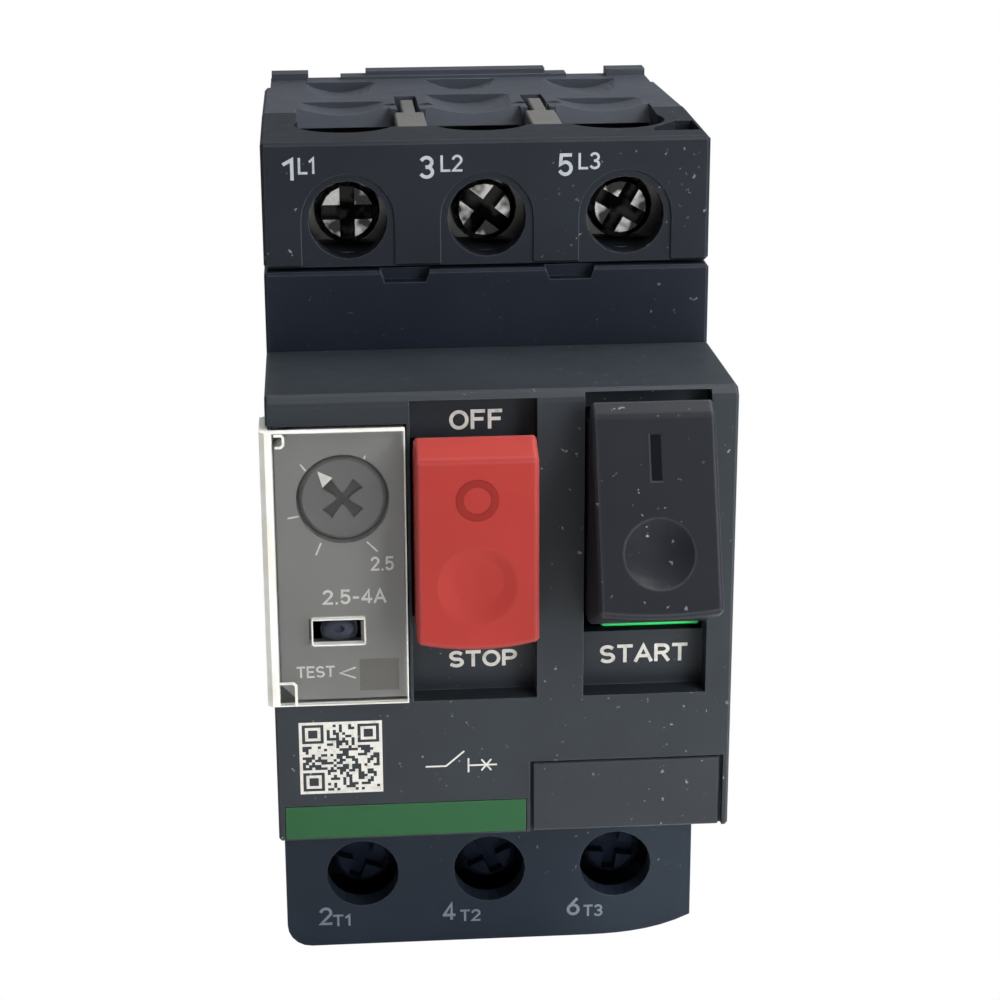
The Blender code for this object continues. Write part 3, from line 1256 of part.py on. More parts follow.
def make_pole_key(name, side):
    """T-shaped key between two poles, its head in the cover and its stem in the base."""
    x = side * PITCH / 2
    head = 1.55 * MM
    stem = 0.7 * MM
    low = FACE + 8.0 * MM + 2 * GAP
    neck = BASE_FRONT + 0.2 * MM
    end = BASE_FRONT + 8.0 * MM
    outline = [
        (x - head, low),
        (x + head, low),
        (x + head, neck),
        (x + stem, neck),
        (x + stem, end),
        (x - stem, end),
        (x - stem, neck),
        (x - head, neck),
    ]
    pale = make_material(name, (0.16, 0.17, 0.18), 0.6)
    return part(name, prism(outline, "z", TOP - 3.0 * MM + GAP, TOP - 0.3 * MM), pale, 0.15 * MM)


# ---- build --------------------------------------------------------------------------------
def build():
    make_rear_base()
    make_upper_terminal_cover()
    make_lower_terminal_cover()
    make_middle_housing()
    make_nose_cover()
    make_setting_plate()
    make_current_dial()
    make_sealing_cover()
    make_marker_plate()
    make_stripe()
    make_stop_button()
    make_start_button()
    make_state_flag()
    make_mechanism_frame()
    make_pivot_pin()
    lever_white = make_material("levers", (0.55, 0.55, 0.5), 0.5)
    make_lever("start_lever", START_X, 3.2 * MM, START_NIB_Z + 2.0 * MM, lever_white)
    make_lever("release_lever", STOP_X, 3.6 * MM, STOP_NIB_Z + 1.5 * MM, lever_white)
    make_contact_carrier()
    make_trip_slide()
    for (name, x, face, screw, side), degrees in zip(TERMINALS, SCREW_TURNS):
        make_terminal_screw(f"{name}_screw", x, face, screw, degrees)
        make_clamp_plate(f"{name}_clamp", x, face, screw)
    for number, x in enumerate(POLES, start=1):
        make_line_terminal(f"line_terminal_{number}", x)
        make_load_terminal(f"load_terminal_{number}", x)
        make_load_contact(f"load_contact_{number}", x)
        make_moving_contact(f"moving_contact_{number}", x)
        make_arc_chute(f"arc_chute_{number}", x)
        make_bobbin(f"coil_bobbin_{number}", x)
        spring(f"trip_coil_{number}", (x, COIL_Y), "z", COIL_LOW, COIL_HIGH, COIL_R, WIRE_R, COIL_TURNS, copper("coil"))
        make_bimetal(f"bimetal_{number}", x)
    make_rail_latch()
    make_pole_key("pole_key_left", -1)
    make_pole_key("pole_key_right", 1)
    spring_steel = steel("springs")
    spring_rear = FRAME_REAR - FRAME_SHEET - GAP
    spring_front = BUTTON_REAR + GAP
    stop_spring_z = STOP_NIB_Z + 1.6 * MM + SPRING_R + 2 * SPRING_WIRE_R + 0.4 * MM
    spring("stop_spring", (STOP_X, stop_spring_z), "y", spring_front, spring_rear, SPRING_R, SPRING_WIRE_R, 6, spring_steel)
    latch_centre = (0.0, RAIL_FLANGE + GAP + LATCH_THICK / 2)
    spring("latch_spring", latch_centre, "z", LATCH_NUB + GAP, LATCH_WINDOW_TOP - GAP, 0.75 * MM, 0.22 * MM, 6, spring_steel)


build()
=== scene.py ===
"""Looks, lettering, light and camera for the motor protection breaker."""
import random
from math import cos, pi, radians, sin

import bmesh
import bpy
from mathutils import Matrix, Vector


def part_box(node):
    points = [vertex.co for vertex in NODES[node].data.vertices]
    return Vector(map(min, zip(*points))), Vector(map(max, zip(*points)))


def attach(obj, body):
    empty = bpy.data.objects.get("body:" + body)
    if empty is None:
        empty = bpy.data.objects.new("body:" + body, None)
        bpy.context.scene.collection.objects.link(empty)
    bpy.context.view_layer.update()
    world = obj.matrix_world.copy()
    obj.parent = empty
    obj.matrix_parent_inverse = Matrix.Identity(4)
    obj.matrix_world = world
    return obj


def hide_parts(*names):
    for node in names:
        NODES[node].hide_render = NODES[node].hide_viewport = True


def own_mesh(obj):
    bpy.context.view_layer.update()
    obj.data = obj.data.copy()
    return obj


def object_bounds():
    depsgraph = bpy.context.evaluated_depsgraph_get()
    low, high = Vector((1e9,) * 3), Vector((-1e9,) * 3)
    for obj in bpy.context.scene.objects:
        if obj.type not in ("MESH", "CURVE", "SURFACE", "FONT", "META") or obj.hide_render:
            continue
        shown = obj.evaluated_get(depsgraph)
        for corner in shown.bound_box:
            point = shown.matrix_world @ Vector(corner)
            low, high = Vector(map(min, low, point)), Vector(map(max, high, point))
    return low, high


MM = 0.001
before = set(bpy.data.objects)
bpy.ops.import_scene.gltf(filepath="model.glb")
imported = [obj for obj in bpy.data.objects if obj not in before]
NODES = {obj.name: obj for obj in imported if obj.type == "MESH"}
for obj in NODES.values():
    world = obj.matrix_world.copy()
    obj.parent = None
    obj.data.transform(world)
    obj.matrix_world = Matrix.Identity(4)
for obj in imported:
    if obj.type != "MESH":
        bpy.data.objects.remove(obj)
cad_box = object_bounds()


# ---- places taken from the frame, in mm ----------------------------------------------------
def box_of(node):
    """A node's lowest and highest corner, to a thousandth."""
    return [[round(value / MM, 3) for value in corner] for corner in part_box(node)]


def front_of(node):
    return box_of(node)[0][1]


def middle_of(node):
    return [(low + high) / 2 for low, high in zip(*box_of(node))]


UPPER_FACE = front_of("upper_terminal_cover")
LOWER_FACE = front_of("lower_terminal_cover")
NOSE_FACE = front_of("nose_cover")
WELL_DEPTH = 2.7
WELL_FLOOR = NOSE_FACE + WELL_DEPTH
PLATE_FACE = front_of("setting_plate")
DIAL_FACE = front_of("current_dial")
DIAL_X, _, DIAL_Z = middle_of("current_dial")
SLIDE_FACE = front_of("trip_slide")
LID_FACE = front_of("sealing_cover")
LID_SIDE = box_of("sealing_cover")[0][0]
# how far the lid's painted highlight reaches in from its left side, and over what width it fades
GLINT_REACH = 1.1
GLINT_FADE = 0.15


# ---- shader helpers ------------------------------------------------------------------------
def srgb(r, g, b):
    """A colour as read off a screen, in the linear values that materials take."""
    def channel(c):
        c = c / 255
        return c / 12.92 if c <= 0.04045 else ((c + 0.055) / 1.055) ** 2.4

    return (channel(r), channel(g), channel(b), 1.0)


def grey(value):
    return (value, value, value, 1.0)


def tinted(colour, share):
    """A colour with its light times a share."""
    return tuple(c * share for c in colour[:3]) + (1.0,)


class Graph:
    """Short calls for the nodes of one node tree."""

    def __init__(self, tree):
        self.tree = tree

    def link(self, source, target):
        self.tree.links.new(source, target)

    def node(self, kind, inputs=None, **settings):
        """A node, with settings, and with inputs that are values or other nodes' outputs."""
        item = self.tree.nodes.new(kind)
        for key, value in settings.items():
            setattr(item, key, value)
        for key, value in (inputs or {}).items():
            if isinstance(value, bpy.types.NodeSocket):
                self.link(value, item.inputs[key])
            else:
                item.inputs[key].default_value = value
        return item

    def math(self, operation, first, second=0.0, clamp=False):
        item = self.node("ShaderNodeMath", {0: first, 1: second}, operation=operation, use_clamp=clamp)
        return item.outputs["Value"]

    def remap(self, source, low, high, start=0.0, end=1.0):
        """Low where the source is at start, high where it is at end, and level beyond them."""
        inputs = {"Value": source, "From Min": start, "From Max": end, "To Min": low, "To Max": high}
        return self.node("ShaderNodeMapRange", inputs).outputs["Result"]

    def axis(self, vector, letter):
        return self.node("ShaderNodeSeparateXYZ", {"Vector": vector}).outputs[letter]

    def in_view(self):
        """1 for what the camera sees, by itself or through the clear lid, and 0 for other light."""
        path = self.node("ShaderNodeLightPath").outputs
        return self.math("MAXIMUM", path["Is Camera Ray"], path["Is Transmission Ray"])


class Shader(Graph):
    """A Principled material, with short calls for its textures."""

    def __init__(self, name, roughness=0.5, metallic=0.0, specular=0.5):
        self.material = bpy.data.materials.new(name)
        self.material.use_nodes = True
        super().__init__(self.material.node_tree)
        self.bsdf = self.tree.nodes["Principled BSDF"]
        self.bsdf.inputs["Roughness"].default_value = roughness
        self.bsdf.inputs["Metallic"].default_value = metallic
        self.bsdf.inputs["Specular IOR Level"].default_value = specular
        self.place = self.node("ShaderNodeTexCoord").outputs["Object"]

    def drive(self, socket, source):
        self.link(source, self.bsdf.inputs[socket])

    def noise(self, scale, detail=3.0, roughness=0.55, stretch=(1, 1, 1)):
        """Noise with so many waves to the metre, that moves with the piece."""
        place = self.node("ShaderNodeMapping", {"Vector": self.place, "Scale": stretch}).outputs["Vector"]
        inputs = {"Vector": place, "Scale": scale, "Detail": detail, "Roughness": roughness}
        return self.node("ShaderNodeTexNoise", inputs).outputs["Fac"]

    def ramp(self, source, low, high):
        """Blends two colours, each given with the value at which it starts."""
        item = self.node("ShaderNodeValToRGB", {"Fac": source})
        for element, (position, colour) in zip(item.color_ramp.elements, (low, high)):
            element.position = position
            element.color = colour
        return item.outputs["Color"]

    def mix(self, factor, first, second):
        item = self.node("ShaderNodeMix", {"Factor": factor, "A": first, "B": second}, data_type="RGBA")
        return item.outputs["Result"]

    def bump(self, height, strength, distance, normal=None):
        inputs = {"Height": height, "Strength": strength, "Distance": distance * MM}
        if normal is not None:
            inputs["Normal"] = normal
        return self.node("ShaderNodeBump", inputs).outputs["Normal"]


def recess_shade(shader, tone, node, start, end, darkest):
    """A tone with painted shade: it darkens between start and end, in mm behind a node's front, as in a
    recess.
    """
    front = min(vertex.co.y for vertex in NODES[node].data.vertices)
    share = shader.remap(shader.axis(shader.place, "Y"), 1.0, darkest, front + start * MM, front + end * MM)
    return shader.node("ShaderNodeVectorMath", {0: tone, "Scale": share}, operation="SCALE").outputs["Vector"]


def edge_mask(shader, radius, start, end, samples=4):
    """The normal with edges rounded, in mm, and a mask that is 1 along them.

    The mask grows from start to end, as cosines of the angle by which rounding turns the normal.
    """
    rounded = shader.node("ShaderNodeBevel", {"Radius": radius * MM}, samples=samples).outputs["Normal"]
    own = shader.node("ShaderNodeNewGeometry").outputs["Normal"]
    facing = shader.node("ShaderNodeVectorMath", {0: rounded, 1: own}, operation="DOT_PRODUCT")
    return rounded, shader.remap(facing.outputs["Value"], 0.0, 1.0, start, end)


# ---- kinds of material ---------------------------------------------------------------------
DUST = srgb(150, 152, 155)
# pale edges, partly wear and partly painted highlight
EDGE_WEAR_AND_HIGHLIGHT = srgb(140, 144, 150)
ROUGH_SPREAD = 0.07


def dusty(shader, tone, amount):
    """Fine pale specks, gathered in patches."""
    flakes = shader.ramp(shader.noise(1300, 2.0, 0.6), (0.70, grey(0)), (0.75, grey(1)))
    patches = shader.ramp(shader.noise(60, 2.0), (0.42, grey(0)), (0.6, grey(amount)))
    return shader.mix(shader.math("MULTIPLY", flakes, patches), tone, DUST)


def moulded(name, colour, roughness=0.5, grain=0.22, specks=0.0, vary=0.12, specular=0.22,
            soften=0.12, recess=None, wear_and_highlight=0.22):
    """Moulded plastic with a fine spark texture.

    grain is the texture's strength, specks that of the dust, vary the share by which the tone
    changes, soften the radius of the edges in mm, recess what gives the tone painted shade with
    depth, and the last argument how much paler the edges are, partly as wear and partly as painted highlight.
    """
    shader = Shader(name, roughness, specular=specular)
    dark, light = tinted(colour, 1 - vary), tinted(colour, 1 + vary)
    tone = shader.ramp(shader.noise(90, 4.0), (0.3, dark), (0.7, light))
    if specks:
        tone = dusty(shader, tone, specks)
    # painted shade: darker with depth, where a recess would lie in shadow
    if recess:
        tone = recess_shade(shader, tone, *recess)
    normal, rim = edge_mask(shader, soften, 0.99, 0.85)
    # edges paler, as wear and as painted highlight
    shader.drive("Base Color", shader.mix(shader.remap(rim, 0.0, wear_and_highlight), tone, EDGE_WEAR_AND_HIGHLIGHT))
    smoothest, roughest = roughness - ROUGH_SPREAD, roughness + ROUGH_SPREAD
    shader.drive("Roughness", shader.remap(shader.noise(400), smoothest, roughest))
    shader.drive("Normal", shader.bump(shader.noise(5200, 2.0, 0.6), grain, 0.03, normal))
    return shader.material


def metal(name, colour, roughness=0.3, brushed=(1, 1, 1)):
    """Plated or rolled metal with small streaks and tone changes."""
    shader = Shader(name, roughness, metallic=1.0)
    fine = shader.noise(700, 3.0, 0.6, brushed)
    shader.drive("Base Color", shader.ramp(shader.noise(260), (0.25, tinted(colour, 0.75)), (0.65, colour)))
    shader.drive("Roughness", shader.remap(fine, roughness - 0.1, roughness + 0.14))
    shader.drive("Normal", shader.bump(fine, 0.1, 0.02))
    return shader.material


def screw_metal(name, glint_level, node):
    """Plated screws, with painted highlights in patches where light would catch them, and painted shade in
    the recess.
    """
    shader = Shader(name, 0.25, metallic=1.0)
    pale = (glint_level, glint_level, glint_level * 0.97, 1.0)
    # painted highlight: pale patches on a near-black ground stand in for glints
    tone = shader.ramp(shader.noise(360, 2.0), (0.50, tinted(pale, 0.07)), (0.60, pale))
    # painted shade in the screw's cross recess
    shader.drive("Base Color", recess_shade(shader, tone, node, 0.6, 0.9, 0.04))
    shader.drive("Roughness", shader.remap(shader.noise(900), 0.16, 0.4))
    shader.drive("Normal", shader.bump(shader.noise(700), 0.25, 0.05))
    return shader.material


def printed(name, colour):
    """Pad printed ink, slightly uneven."""
    shader = Shader(name, 0.6, specular=0.3)
    shader.drive("Base Color", shader.ramp(shader.noise(1500), (0.32, tinted(colour, 0.78)), (0.5, colour)))
    return shader.material


def clear_plastic(name):
    """Clear moulding: a scuffed face, and edges and walls made milky white as painted highlight."""
    shader = Shader(name, 0.06)
    shader.bsdf.inputs["IOR"].default_value = 1.3
    # painted highlight: milky white along the edges
    painted_glint = edge_mask(shader, 0.3, 0.995, 0.93, samples=6)[1]
    # painted highlight, milky white: the side wall, and whatever doesn't face forwards or back
    wall = (LID_SIDE + GLINT_REACH) * MM
    side = shader.remap(shader.axis(shader.place, "X"), 0.0, 0.75, wall + GLINT_FADE * MM, wall)
    normal = shader.node("ShaderNodeNewGeometry").outputs["True Normal"]
    own = shader.node("ShaderNodeVectorTransform", {"Vector": normal},
                      vector_type="NORMAL", convert_from="WORLD", convert_to="OBJECT")
    forwards = shader.math("ABSOLUTE", shader.axis(own.outputs["Vector"], "Y"))
    for milky_white in (side, shader.remap(forwards, 0.85, -0.4)):
        painted_glint = shader.math("MAXIMUM", painted_glint, milky_white, clamp=True)
    tint = shader.ramp(shader.noise(300), (0.35, srgb(226, 222, 208)), (0.65, srgb(244, 246, 246)))
    shader.drive("Base Color", shader.mix(painted_glint, (0.95, 0.96, 0.96, 1.0), tint))
    shader.drive("Transmission Weight", shader.remap(painted_glint, 1.0, 0.1))
    scuffs = shader.ramp(shader.noise(500, 4.0, 0.7), (0.55, grey(0.03)), (0.8, grey(0.2)))
    shader.drive("Roughness", shader.mix(painted_glint, scuffs, grey(0.4)))
    return shader.material


# ---- the CAD's nodes -----------------------------------------------------------------------
def paint(material, *names):
    for name in names:
        for slot in NODES[name].material_slots:
            slot.material = material


# the casing
paint(moulded("base plastic", srgb(51, 55, 63), 0.52, specks=0.3), "rear_base")
paint(moulded("cover plastic", srgb(28, 32, 38), specks=0.5, specular=0.12), "upper_terminal_cover")
paint(moulded("lower cover plastic", srgb(33, 41, 51), specks=0.35, specular=0.16), "lower_terminal_cover")
paint(moulded("housing plastic", srgb(22, 27, 36), specks=0.3, specular=0.12), "middle_housing")
paint(moulded("nose plastic", srgb(35, 40, 45), 0.48, specks=0.6), "nose_cover")
paint(moulded("marker plastic", srgb(38, 42, 47), specks=0.6), "marker_plate")
paint(moulded("stripe green", srgb(28, 74, 42), grain=0.2, vary=0.06), "green_stripe")
paint(moulded("key plastic", srgb(83, 83, 82), 0.6, wear_and_highlight=0.1), "pole_key_left", "pole_key_right")
paint(moulded("latch plastic", srgb(45, 47, 51)), "rail_latch")

# the setting plate and its lid
paint(moulded("setting plate plastic", srgb(107, 106, 103), grain=0.18, vary=0.06), "setting_plate")
# the dial's cross recess and its sides take painted shade
paint(moulded("dial plastic", srgb(80, 80, 79), 0.45, grain=0.1, vary=0.06,
              recess=("current_dial", 0.15, 0.3, 0.32), wear_and_highlight=0.0), "current_dial")
slide_plastic = moulded("slide plastic", srgb(36, 40, 50), 0.4, grain=0.1, wear_and_highlight=0.1)
paint(slide_plastic, "trip_slide")
paint(clear_plastic("clear lid"), "sealing_cover")

# the buttons and what they move
paint(moulded("stop red", srgb(140, 45, 40), grain=0.12, vary=0.05, specular=0.1, soften=0.5), "stop_button")
paint(moulded("start black", srgb(24, 26, 31), 0.42, grain=0.15, specks=0.7, specular=0.14, soften=0.4),
      "start_button")
paint(moulded("flag green", srgb(40, 190, 95), 0.35, grain=0.1), "state_flag")
paint(moulded("lever plastic", srgb(190, 190, 180)), "start_lever", "release_lever")
paint(moulded("carrier plastic", srgb(150, 130, 100), 0.55), "contact_carrier")

# metal parts, and the bobbins
# noise that is twelve times finer along Z, for level streaks
BRUSHED = (1, 1, 12)
plated = metal("zinc plated steel", (0.3, 0.3, 0.29, 1.0), 0.32)
line_screw = screw_metal("screw steel", 0.55, "line_1_screw")
# painted shade: the load screws, like the line screws but near black, for the shadow deep in their holes
shaded_load_screw = metal("screw steel in painted shade", (0.032, 0.045, 0.075, 1.0), 0.75)
# painted shade: the load clamps and terminals, near black for the shadow in the lower holes
shaded_load_metal = metal("load metal in painted shade", (0.014, 0.018, 0.028, 1.0), 0.6)
sheet = metal("rolled steel", (0.6, 0.6, 0.58, 1.0), 0.35, BRUSHED)
copper = metal("silvered copper", (0.86, 0.56, 0.36, 1.0))
wire = metal("enamelled wire", (0.62, 0.28, 0.12, 1.0), 0.25)
strip = metal("bimetal strip", (0.55, 0.52, 0.46, 1.0), 0.35, BRUSHED)
bobbin = moulded("bobbin plastic", srgb(60, 60, 62))
paint(plated, "pivot_pin", "stop_spring", "latch_spring")
paint(sheet, "mechanism_frame")
for pole in (1, 2, 3):
    paint(line_screw, f"line_{pole}_screw")
    paint(plated, f"line_{pole}_clamp")
    paint(copper, f"line_terminal_{pole}", f"load_contact_{pole}", f"moving_contact_{pole}")
    paint(shaded_load_screw, f"load_{pole}_screw")
    paint(shaded_load_metal, f"load_{pole}_clamp", f"load_terminal_{pole}")
    paint(sheet, f"arc_chute_{pole}")
    paint(bobbin, f"coil_bobbin_{pole}")
    paint(wire, f"trip_coil_{pole}")
    paint(strip, f"bimetal_{pole}")


def smooth(item, degrees):
    """Smooth shading, but for edges that turn more than the given angle."""
    item.data.shade_smooth()
    item.data.set_sharp_from_angle(angle=radians(degrees))


for cad_node in NODES.values():
    smooth(cad_node, 35)


def live_spring(node):
    """The CAD's spring as a piece of its own, fixed to the housing, with the CAD's node hidden.
    """
    mesh = NODES[node].data.copy()
    item = bpy.data.objects.new(f"{node}_coil", mesh)
    bpy.context.scene.collection.objects.link(item)
    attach(item, "housing")
    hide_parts(node)
    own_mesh(item)


live_spring("stop_spring")
live_spring("latch_spring")


# ---- strokes and outlines ------------------------------------------------------------------
def bow(cx, cy, rx, ry, first, last, steps=10):
    """Points along an ellipse, from one angle to another."""
    angles = [radians(first + (last - first) * i / steps) for i in range(steps + 1)]
    return [(cx + rx * cos(angle), cy + ry * sin(angle)) for angle in angles]


# Each sign's width and its strokes, in a cell of SIGN_HIGH; SIGN_GAP lies between two signs.
SIGN_HIGH = 6
SIGN_GAP = 0.9
SIGNS = {
    "O": (4.4, [bow(2.2, 3, 2.0, 2.8, 0, 360, 20)]),
    "F": (3.4, [[(0.3, 0.1), (0.3, 5.9), (3.2, 5.9)], [(0.3, 3.2), (2.8, 3.2)]]),
    "S": (3.7, [bow(1.85, 4.4, 1.5, 1.45, 35, 270) + bow(1.85, 1.6, 1.6, 1.45, 90, -145)[1:]]),
    "T": (3.7, [[(0.1, 5.9), (3.6, 5.9)], [(1.85, 5.9), (1.85, 0.1)]]),
    "P": (3.7, [[(0.3, 0.1), (0.3, 5.9)],
                [(0.3, 5.9), (2.0, 5.9)] + bow(2.0, 4.35, 1.45, 1.55, 90, -90, 8)[1:] + [(0.3, 2.8)]]),
    "A": (4.2, [[(0.1, 0.1), (2.1, 5.9), (4.1, 0.1)], [(0.8, 2.0), (3.4, 2.0)]]),
    "R": (3.8, [[(0.3, 0.1), (0.3, 5.9)],
                [(0.3, 5.9), (2.0, 5.9)] + bow(2.0, 4.45, 1.4, 1.45, 90, -90, 8)[1:] + [(0.3, 3.0)],
                [(2.0, 3.0), (3.5, 0.1)]]),
    "E": (3.3, [[(3.2, 0.1), (0.3, 0.1), (0.3, 5.9), (3.2, 5.9)], [(0.3, 3.1), (2.8, 3.1)]]),
    "L": (3.2, [[(0.3, 5.9), (0.3, 0.1), (3.1, 0.1)]]),
    "1": (2.2, [[(0.2, 4.6), (1.5, 5.9), (1.5, 0.1)]]),
    "2": (3.6, [bow(1.8, 4.3, 1.5, 1.6, 165, -35) + [(0.3, 0.1), (3.4, 0.1)]]),
    "3": (3.6, [bow(1.7, 4.45, 1.4, 1.45, 150, -90, 9), bow(1.7, 1.55, 1.55, 1.5, 90, -150, 9)]),
    "4": (3.9, [[(2.7, 0.1), (2.7, 5.9), (0.2, 1.6)], [(0.2, 1.6), (3.7, 1.6)]]),
    "5": (3.6, [[(3.2, 5.9), (0.7, 5.9), (0.5, 3.2)] + bow(1.75, 1.95, 1.55, 1.85, 125, -150)]),
    "6": (3.6, [[(2.9, 5.9), (0.55, 2.9)], bow(1.85, 1.85, 1.55, 1.75, 0, 360, 18)]),
    ".": (1.2, [[(0.5, 0.05), (0.75, 0.05)]]),
    "-": (2.6, [[(0.4, 2.6), (2.2, 2.6)]]),
    "<": (3.4, [[(3.2, 5.0), (0.4, 2.8), (3.2, 0.6)]]),
}

# Ink in mm: how far its front lies before the surface, how far its back lies behind that front,
# and how far each stroke lies before the last, so that strokes that cross don't share a plane.
LIFT = 0.012
INK = 0.03
STEP = 0.006
MITRE_LIMIT = 0.5
END_REACH = 0.6
SAME_POINT = 1e-4


def ribbon(bm, points, half, closed, step):
    """A stroke in the XZ plane with mitred joins, as a closed box."""
    count = len(points)
    sides = []
    for i, here in enumerate(points):
        before = points[i - 1] if i or closed else None
        after = points[(i + 1) % count] if i < count - 1 or closed else None
        directions = []
        if before is not None:
            directions.append((Vector(here) - Vector(before)).normalized())
        if after is not None:
            directions.append((Vector(after) - Vector(here)).normalized())
        along = sum(directions, Vector((0, 0))).normalized()
        across = Vector((-along.y, along.x))
        turn = max(MITRE_LIMIT, directions[0].dot(along))
        centre = Vector(here)
        if len(directions) == 1:
            centre += directions[0] * half * (-END_REACH if before is None else END_REACH)
        sides.append((centre + across * half / turn, centre - across * half / turn))
    front, back = -step * STEP * MM, INK * MM
    rows = []
    for left, right in sides:
        corners = ((left, front), (right, front), (right, back), (left, back))
        rows.append([bm.verts.new((point.x, depth, point.y)) for point, depth in corners])
    links = list(zip(rows, rows[1:]))
    if closed:
        links.append((rows[-1], rows[0]))
    else:
        bm.faces.new(rows[0])
        bm.faces.new(reversed(rows[-1]))
    for this, following in links:
        for k in range(4):
            bm.faces.new((this[k], following[k], following[(k + 1) % 4], this[(k + 1) % 4]))


def add_strokes(bm, strokes, half):
    """Strokes in mm; one that ends where it starts is closed."""
    for step, stroke in enumerate(strokes):
        closed = (Vector(stroke[0]) - Vector(stroke[-1])).length < SAME_POINT
        points = [(u * MM, v * MM) for u, v in (stroke[:-1] if closed else stroke)]
        ribbon(bm, points, half * MM, closed, step)


def add_outline(bm, corners):
    """A filled outline in the XZ plane, in mm, as a closed box."""
    front, back = ([bm.verts.new((u * MM, depth, v * MM)) for u, v in corners] for depth in (0, INK * MM))
    bm.faces.new(front)
    bm.faces.new(reversed(back))
    for k in range(len(corners)):
        after = (k + 1) % len(corners)
        bm.faces.new((front[k], back[k], back[after], front[after]))


def mark_object(name, bm, material, place, body, lean=0.0, lift=LIFT):
    """A piece on a surface, at a place in mm; lean tips it back with a sloping face."""
    bmesh.ops.recalc_face_normals(bm, faces=bm.faces)
    mesh = bpy.data.meshes.new(name)
    bm.to_mesh(mesh)
    bm.free()
    mesh.materials.append(material)
    item = bpy.data.objects.new(name, mesh)
    bpy.context.scene.collection.objects.link(item)
    item.location = (place[0] * MM, (place[1] - lift) * MM, place[2] * MM)
    item.rotation_euler = (-lean, 0, 0)
    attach(item, body)
    return item


def text(name, words, left, right, low, high, surface, material, half):
    """Words in strokes that fill left..right and low..high on a surface, all in mm."""
    total = sum(SIGNS[sign][0] for sign in words) + SIGN_GAP * (len(words) - 1)
    unit = (high - low) / SIGN_HIGH
    across = (right - left) / total
    bm = bmesh.new()
    pen = left
    for sign in words:
        width, strokes = SIGNS[sign]
        add_strokes(bm, [[(pen + u * across, low + v * unit) for u, v in stroke] for stroke in strokes], half)
        pen += (width + SIGN_GAP) * across
    mark_object(name, bm, material, (0, surface, 0), "housing")


def lines(name, strokes, half, material, place, body="housing", lean=0.0):
    """Strokes about a place, in mm."""
    bm = bmesh.new()
    add_strokes(bm, strokes, half)
    mark_object(name, bm, material, place, body, lean)


def fills(name, outlines, material, place, body="housing", lean=0.0):
    """Filled outlines about a place, in mm."""
    bm = bmesh.new()
    for outline in outlines:
        add_outline(bm, outline)
    mark_object(name, bm, material, place, body, lean)


# ---- printed words and numbers -------------------------------------------------------------
ink = printed("white ink", srgb(192, 190, 184))
grey_ink = printed("grey ink", srgb(156, 160, 168))
dim_ink = printed("dim ink", srgb(118, 124, 136))
square_tone = printed("square tone", srgb(84, 82, 76))

# piece, words, left, right, low, high and half the stroke, in mm
for piece, words, *span, half in (
    ("word_off", "OFF", -4.86, 0.05, 20.2, 21.9, 0.17),
    ("word_stop", "STOP", -5.15, 1.38, -4.07, -2.59, 0.17),
    ("word_start", "START", 9.65, 18.2, -4.15, -2.5, 0.17),
):
    text(piece, words, *span, WELL_FLOOR, ink, half)


def pole_marks(marks, surface, material, width, big_span, big_half, small_span, small_half=0.12):
    """A large number and a small name at each pole, in mm.

    Each mark says where its number and its name start and where the name ends, each span where
    they stand and how high they reach.
    """
    for big, small, left, first, last in marks:
        text(f"mark_{big}", big, left, left + width, *big_span, surface, material, big_half)
        text(f"mark_{small}", small, first, last, *small_span, surface, material, small_half)


upper_marks = (
    ("1", "L1", -20.1, -18.55, -16.9),
    ("3", "L2", -6.6, -4.55, -2.45),
    ("5", "L3", 7.1, 9.1, 11.2),
)
lower_marks = (
    ("2", "T1", -18.6, -17.15, -15.2),
    ("4", "T2", -5.1, -3.2, -1.05),
    ("6", "T3", 8.55, 10.4, 12.45),
)
pole_marks(upper_marks, UPPER_FACE, grey_ink, 1.35, (40.85, 42.85), 0.17, (41.45, 42.95))
pole_marks(lower_marks, LOWER_FACE, dim_ink, 1.3, (-41.9, -40.0), 0.16, (-42.15, -40.9))

# ---- setting plate: generic range, scale ticks, test mark and a plain square ---------------
for piece, words, *span, half in (
    ("scale_low", "2.5", -12.65, -10.55, 7.25, 8.5, 0.11),
    ("scale_range", "2.5-4A", -17.3, -11.35, 3.95, 5.25, 0.12),
    ("word_test", "TEST", -20.0, -16.4, -3.55, -2.5, 0.09),
    ("mark_arrow", "<", -16.05, -14.3, -3.9, -2.45, 0.08),
):
    text(piece, words, *span, PLATE_FACE, ink, half)
ticks = [
    [(-3.85, 3.5), (-3.41, 2.92)],
    [(-5.18, -1.75), (-4.2, -1.58)],
    [(-2.64, -5.44), (-2.16, -4.33)],
    [(2.22, -4.33), (3.15, -5.27)],
    [(2.07, 3.96), (2.19, 4.19)],
]
lines("scale_ticks", ticks, 0.08, ink, (DIAL_X, PLATE_FACE, DIAL_Z))
# a square a little darker than the plate
square = [(-13.97, -5.1), (-10.2, -5.1), (-10.2, -1.82), (-13.97, -1.82)]
fills("square_patch", [square], square_tone, (0, PLATE_FACE, 0))
pointer = [(-2.31, 2.74), (-1.86, 1.12), (-0.91, 2.07)]
fills("dial_pointer", [pointer], ink, (DIAL_X, DIAL_FACE, DIAL_Z), "setting_knob")

# small clips in the lid's left corners
clip_white = printed("frosted clip", srgb(206, 206, 200))
low_clip = [(-21.6, -3.7), (-20.35, -3.7), (-20.1, -3.95), (-20.1, -6.0)]
high_clip = [(-21.4, 21.1), (-20.75, 21.1), (-20.6, 20.9), (-20.6, 20.2), (-20.85, 19.95), (-21.3, 19.95)]
lines("lid_clip_low", [low_clip], 0.13, clip_white, (0, LID_FACE, 0), "lid")
lines("lid_clip_high", [high_clip], 0.12, clip_white, (0, LID_FACE, 0), "lid")


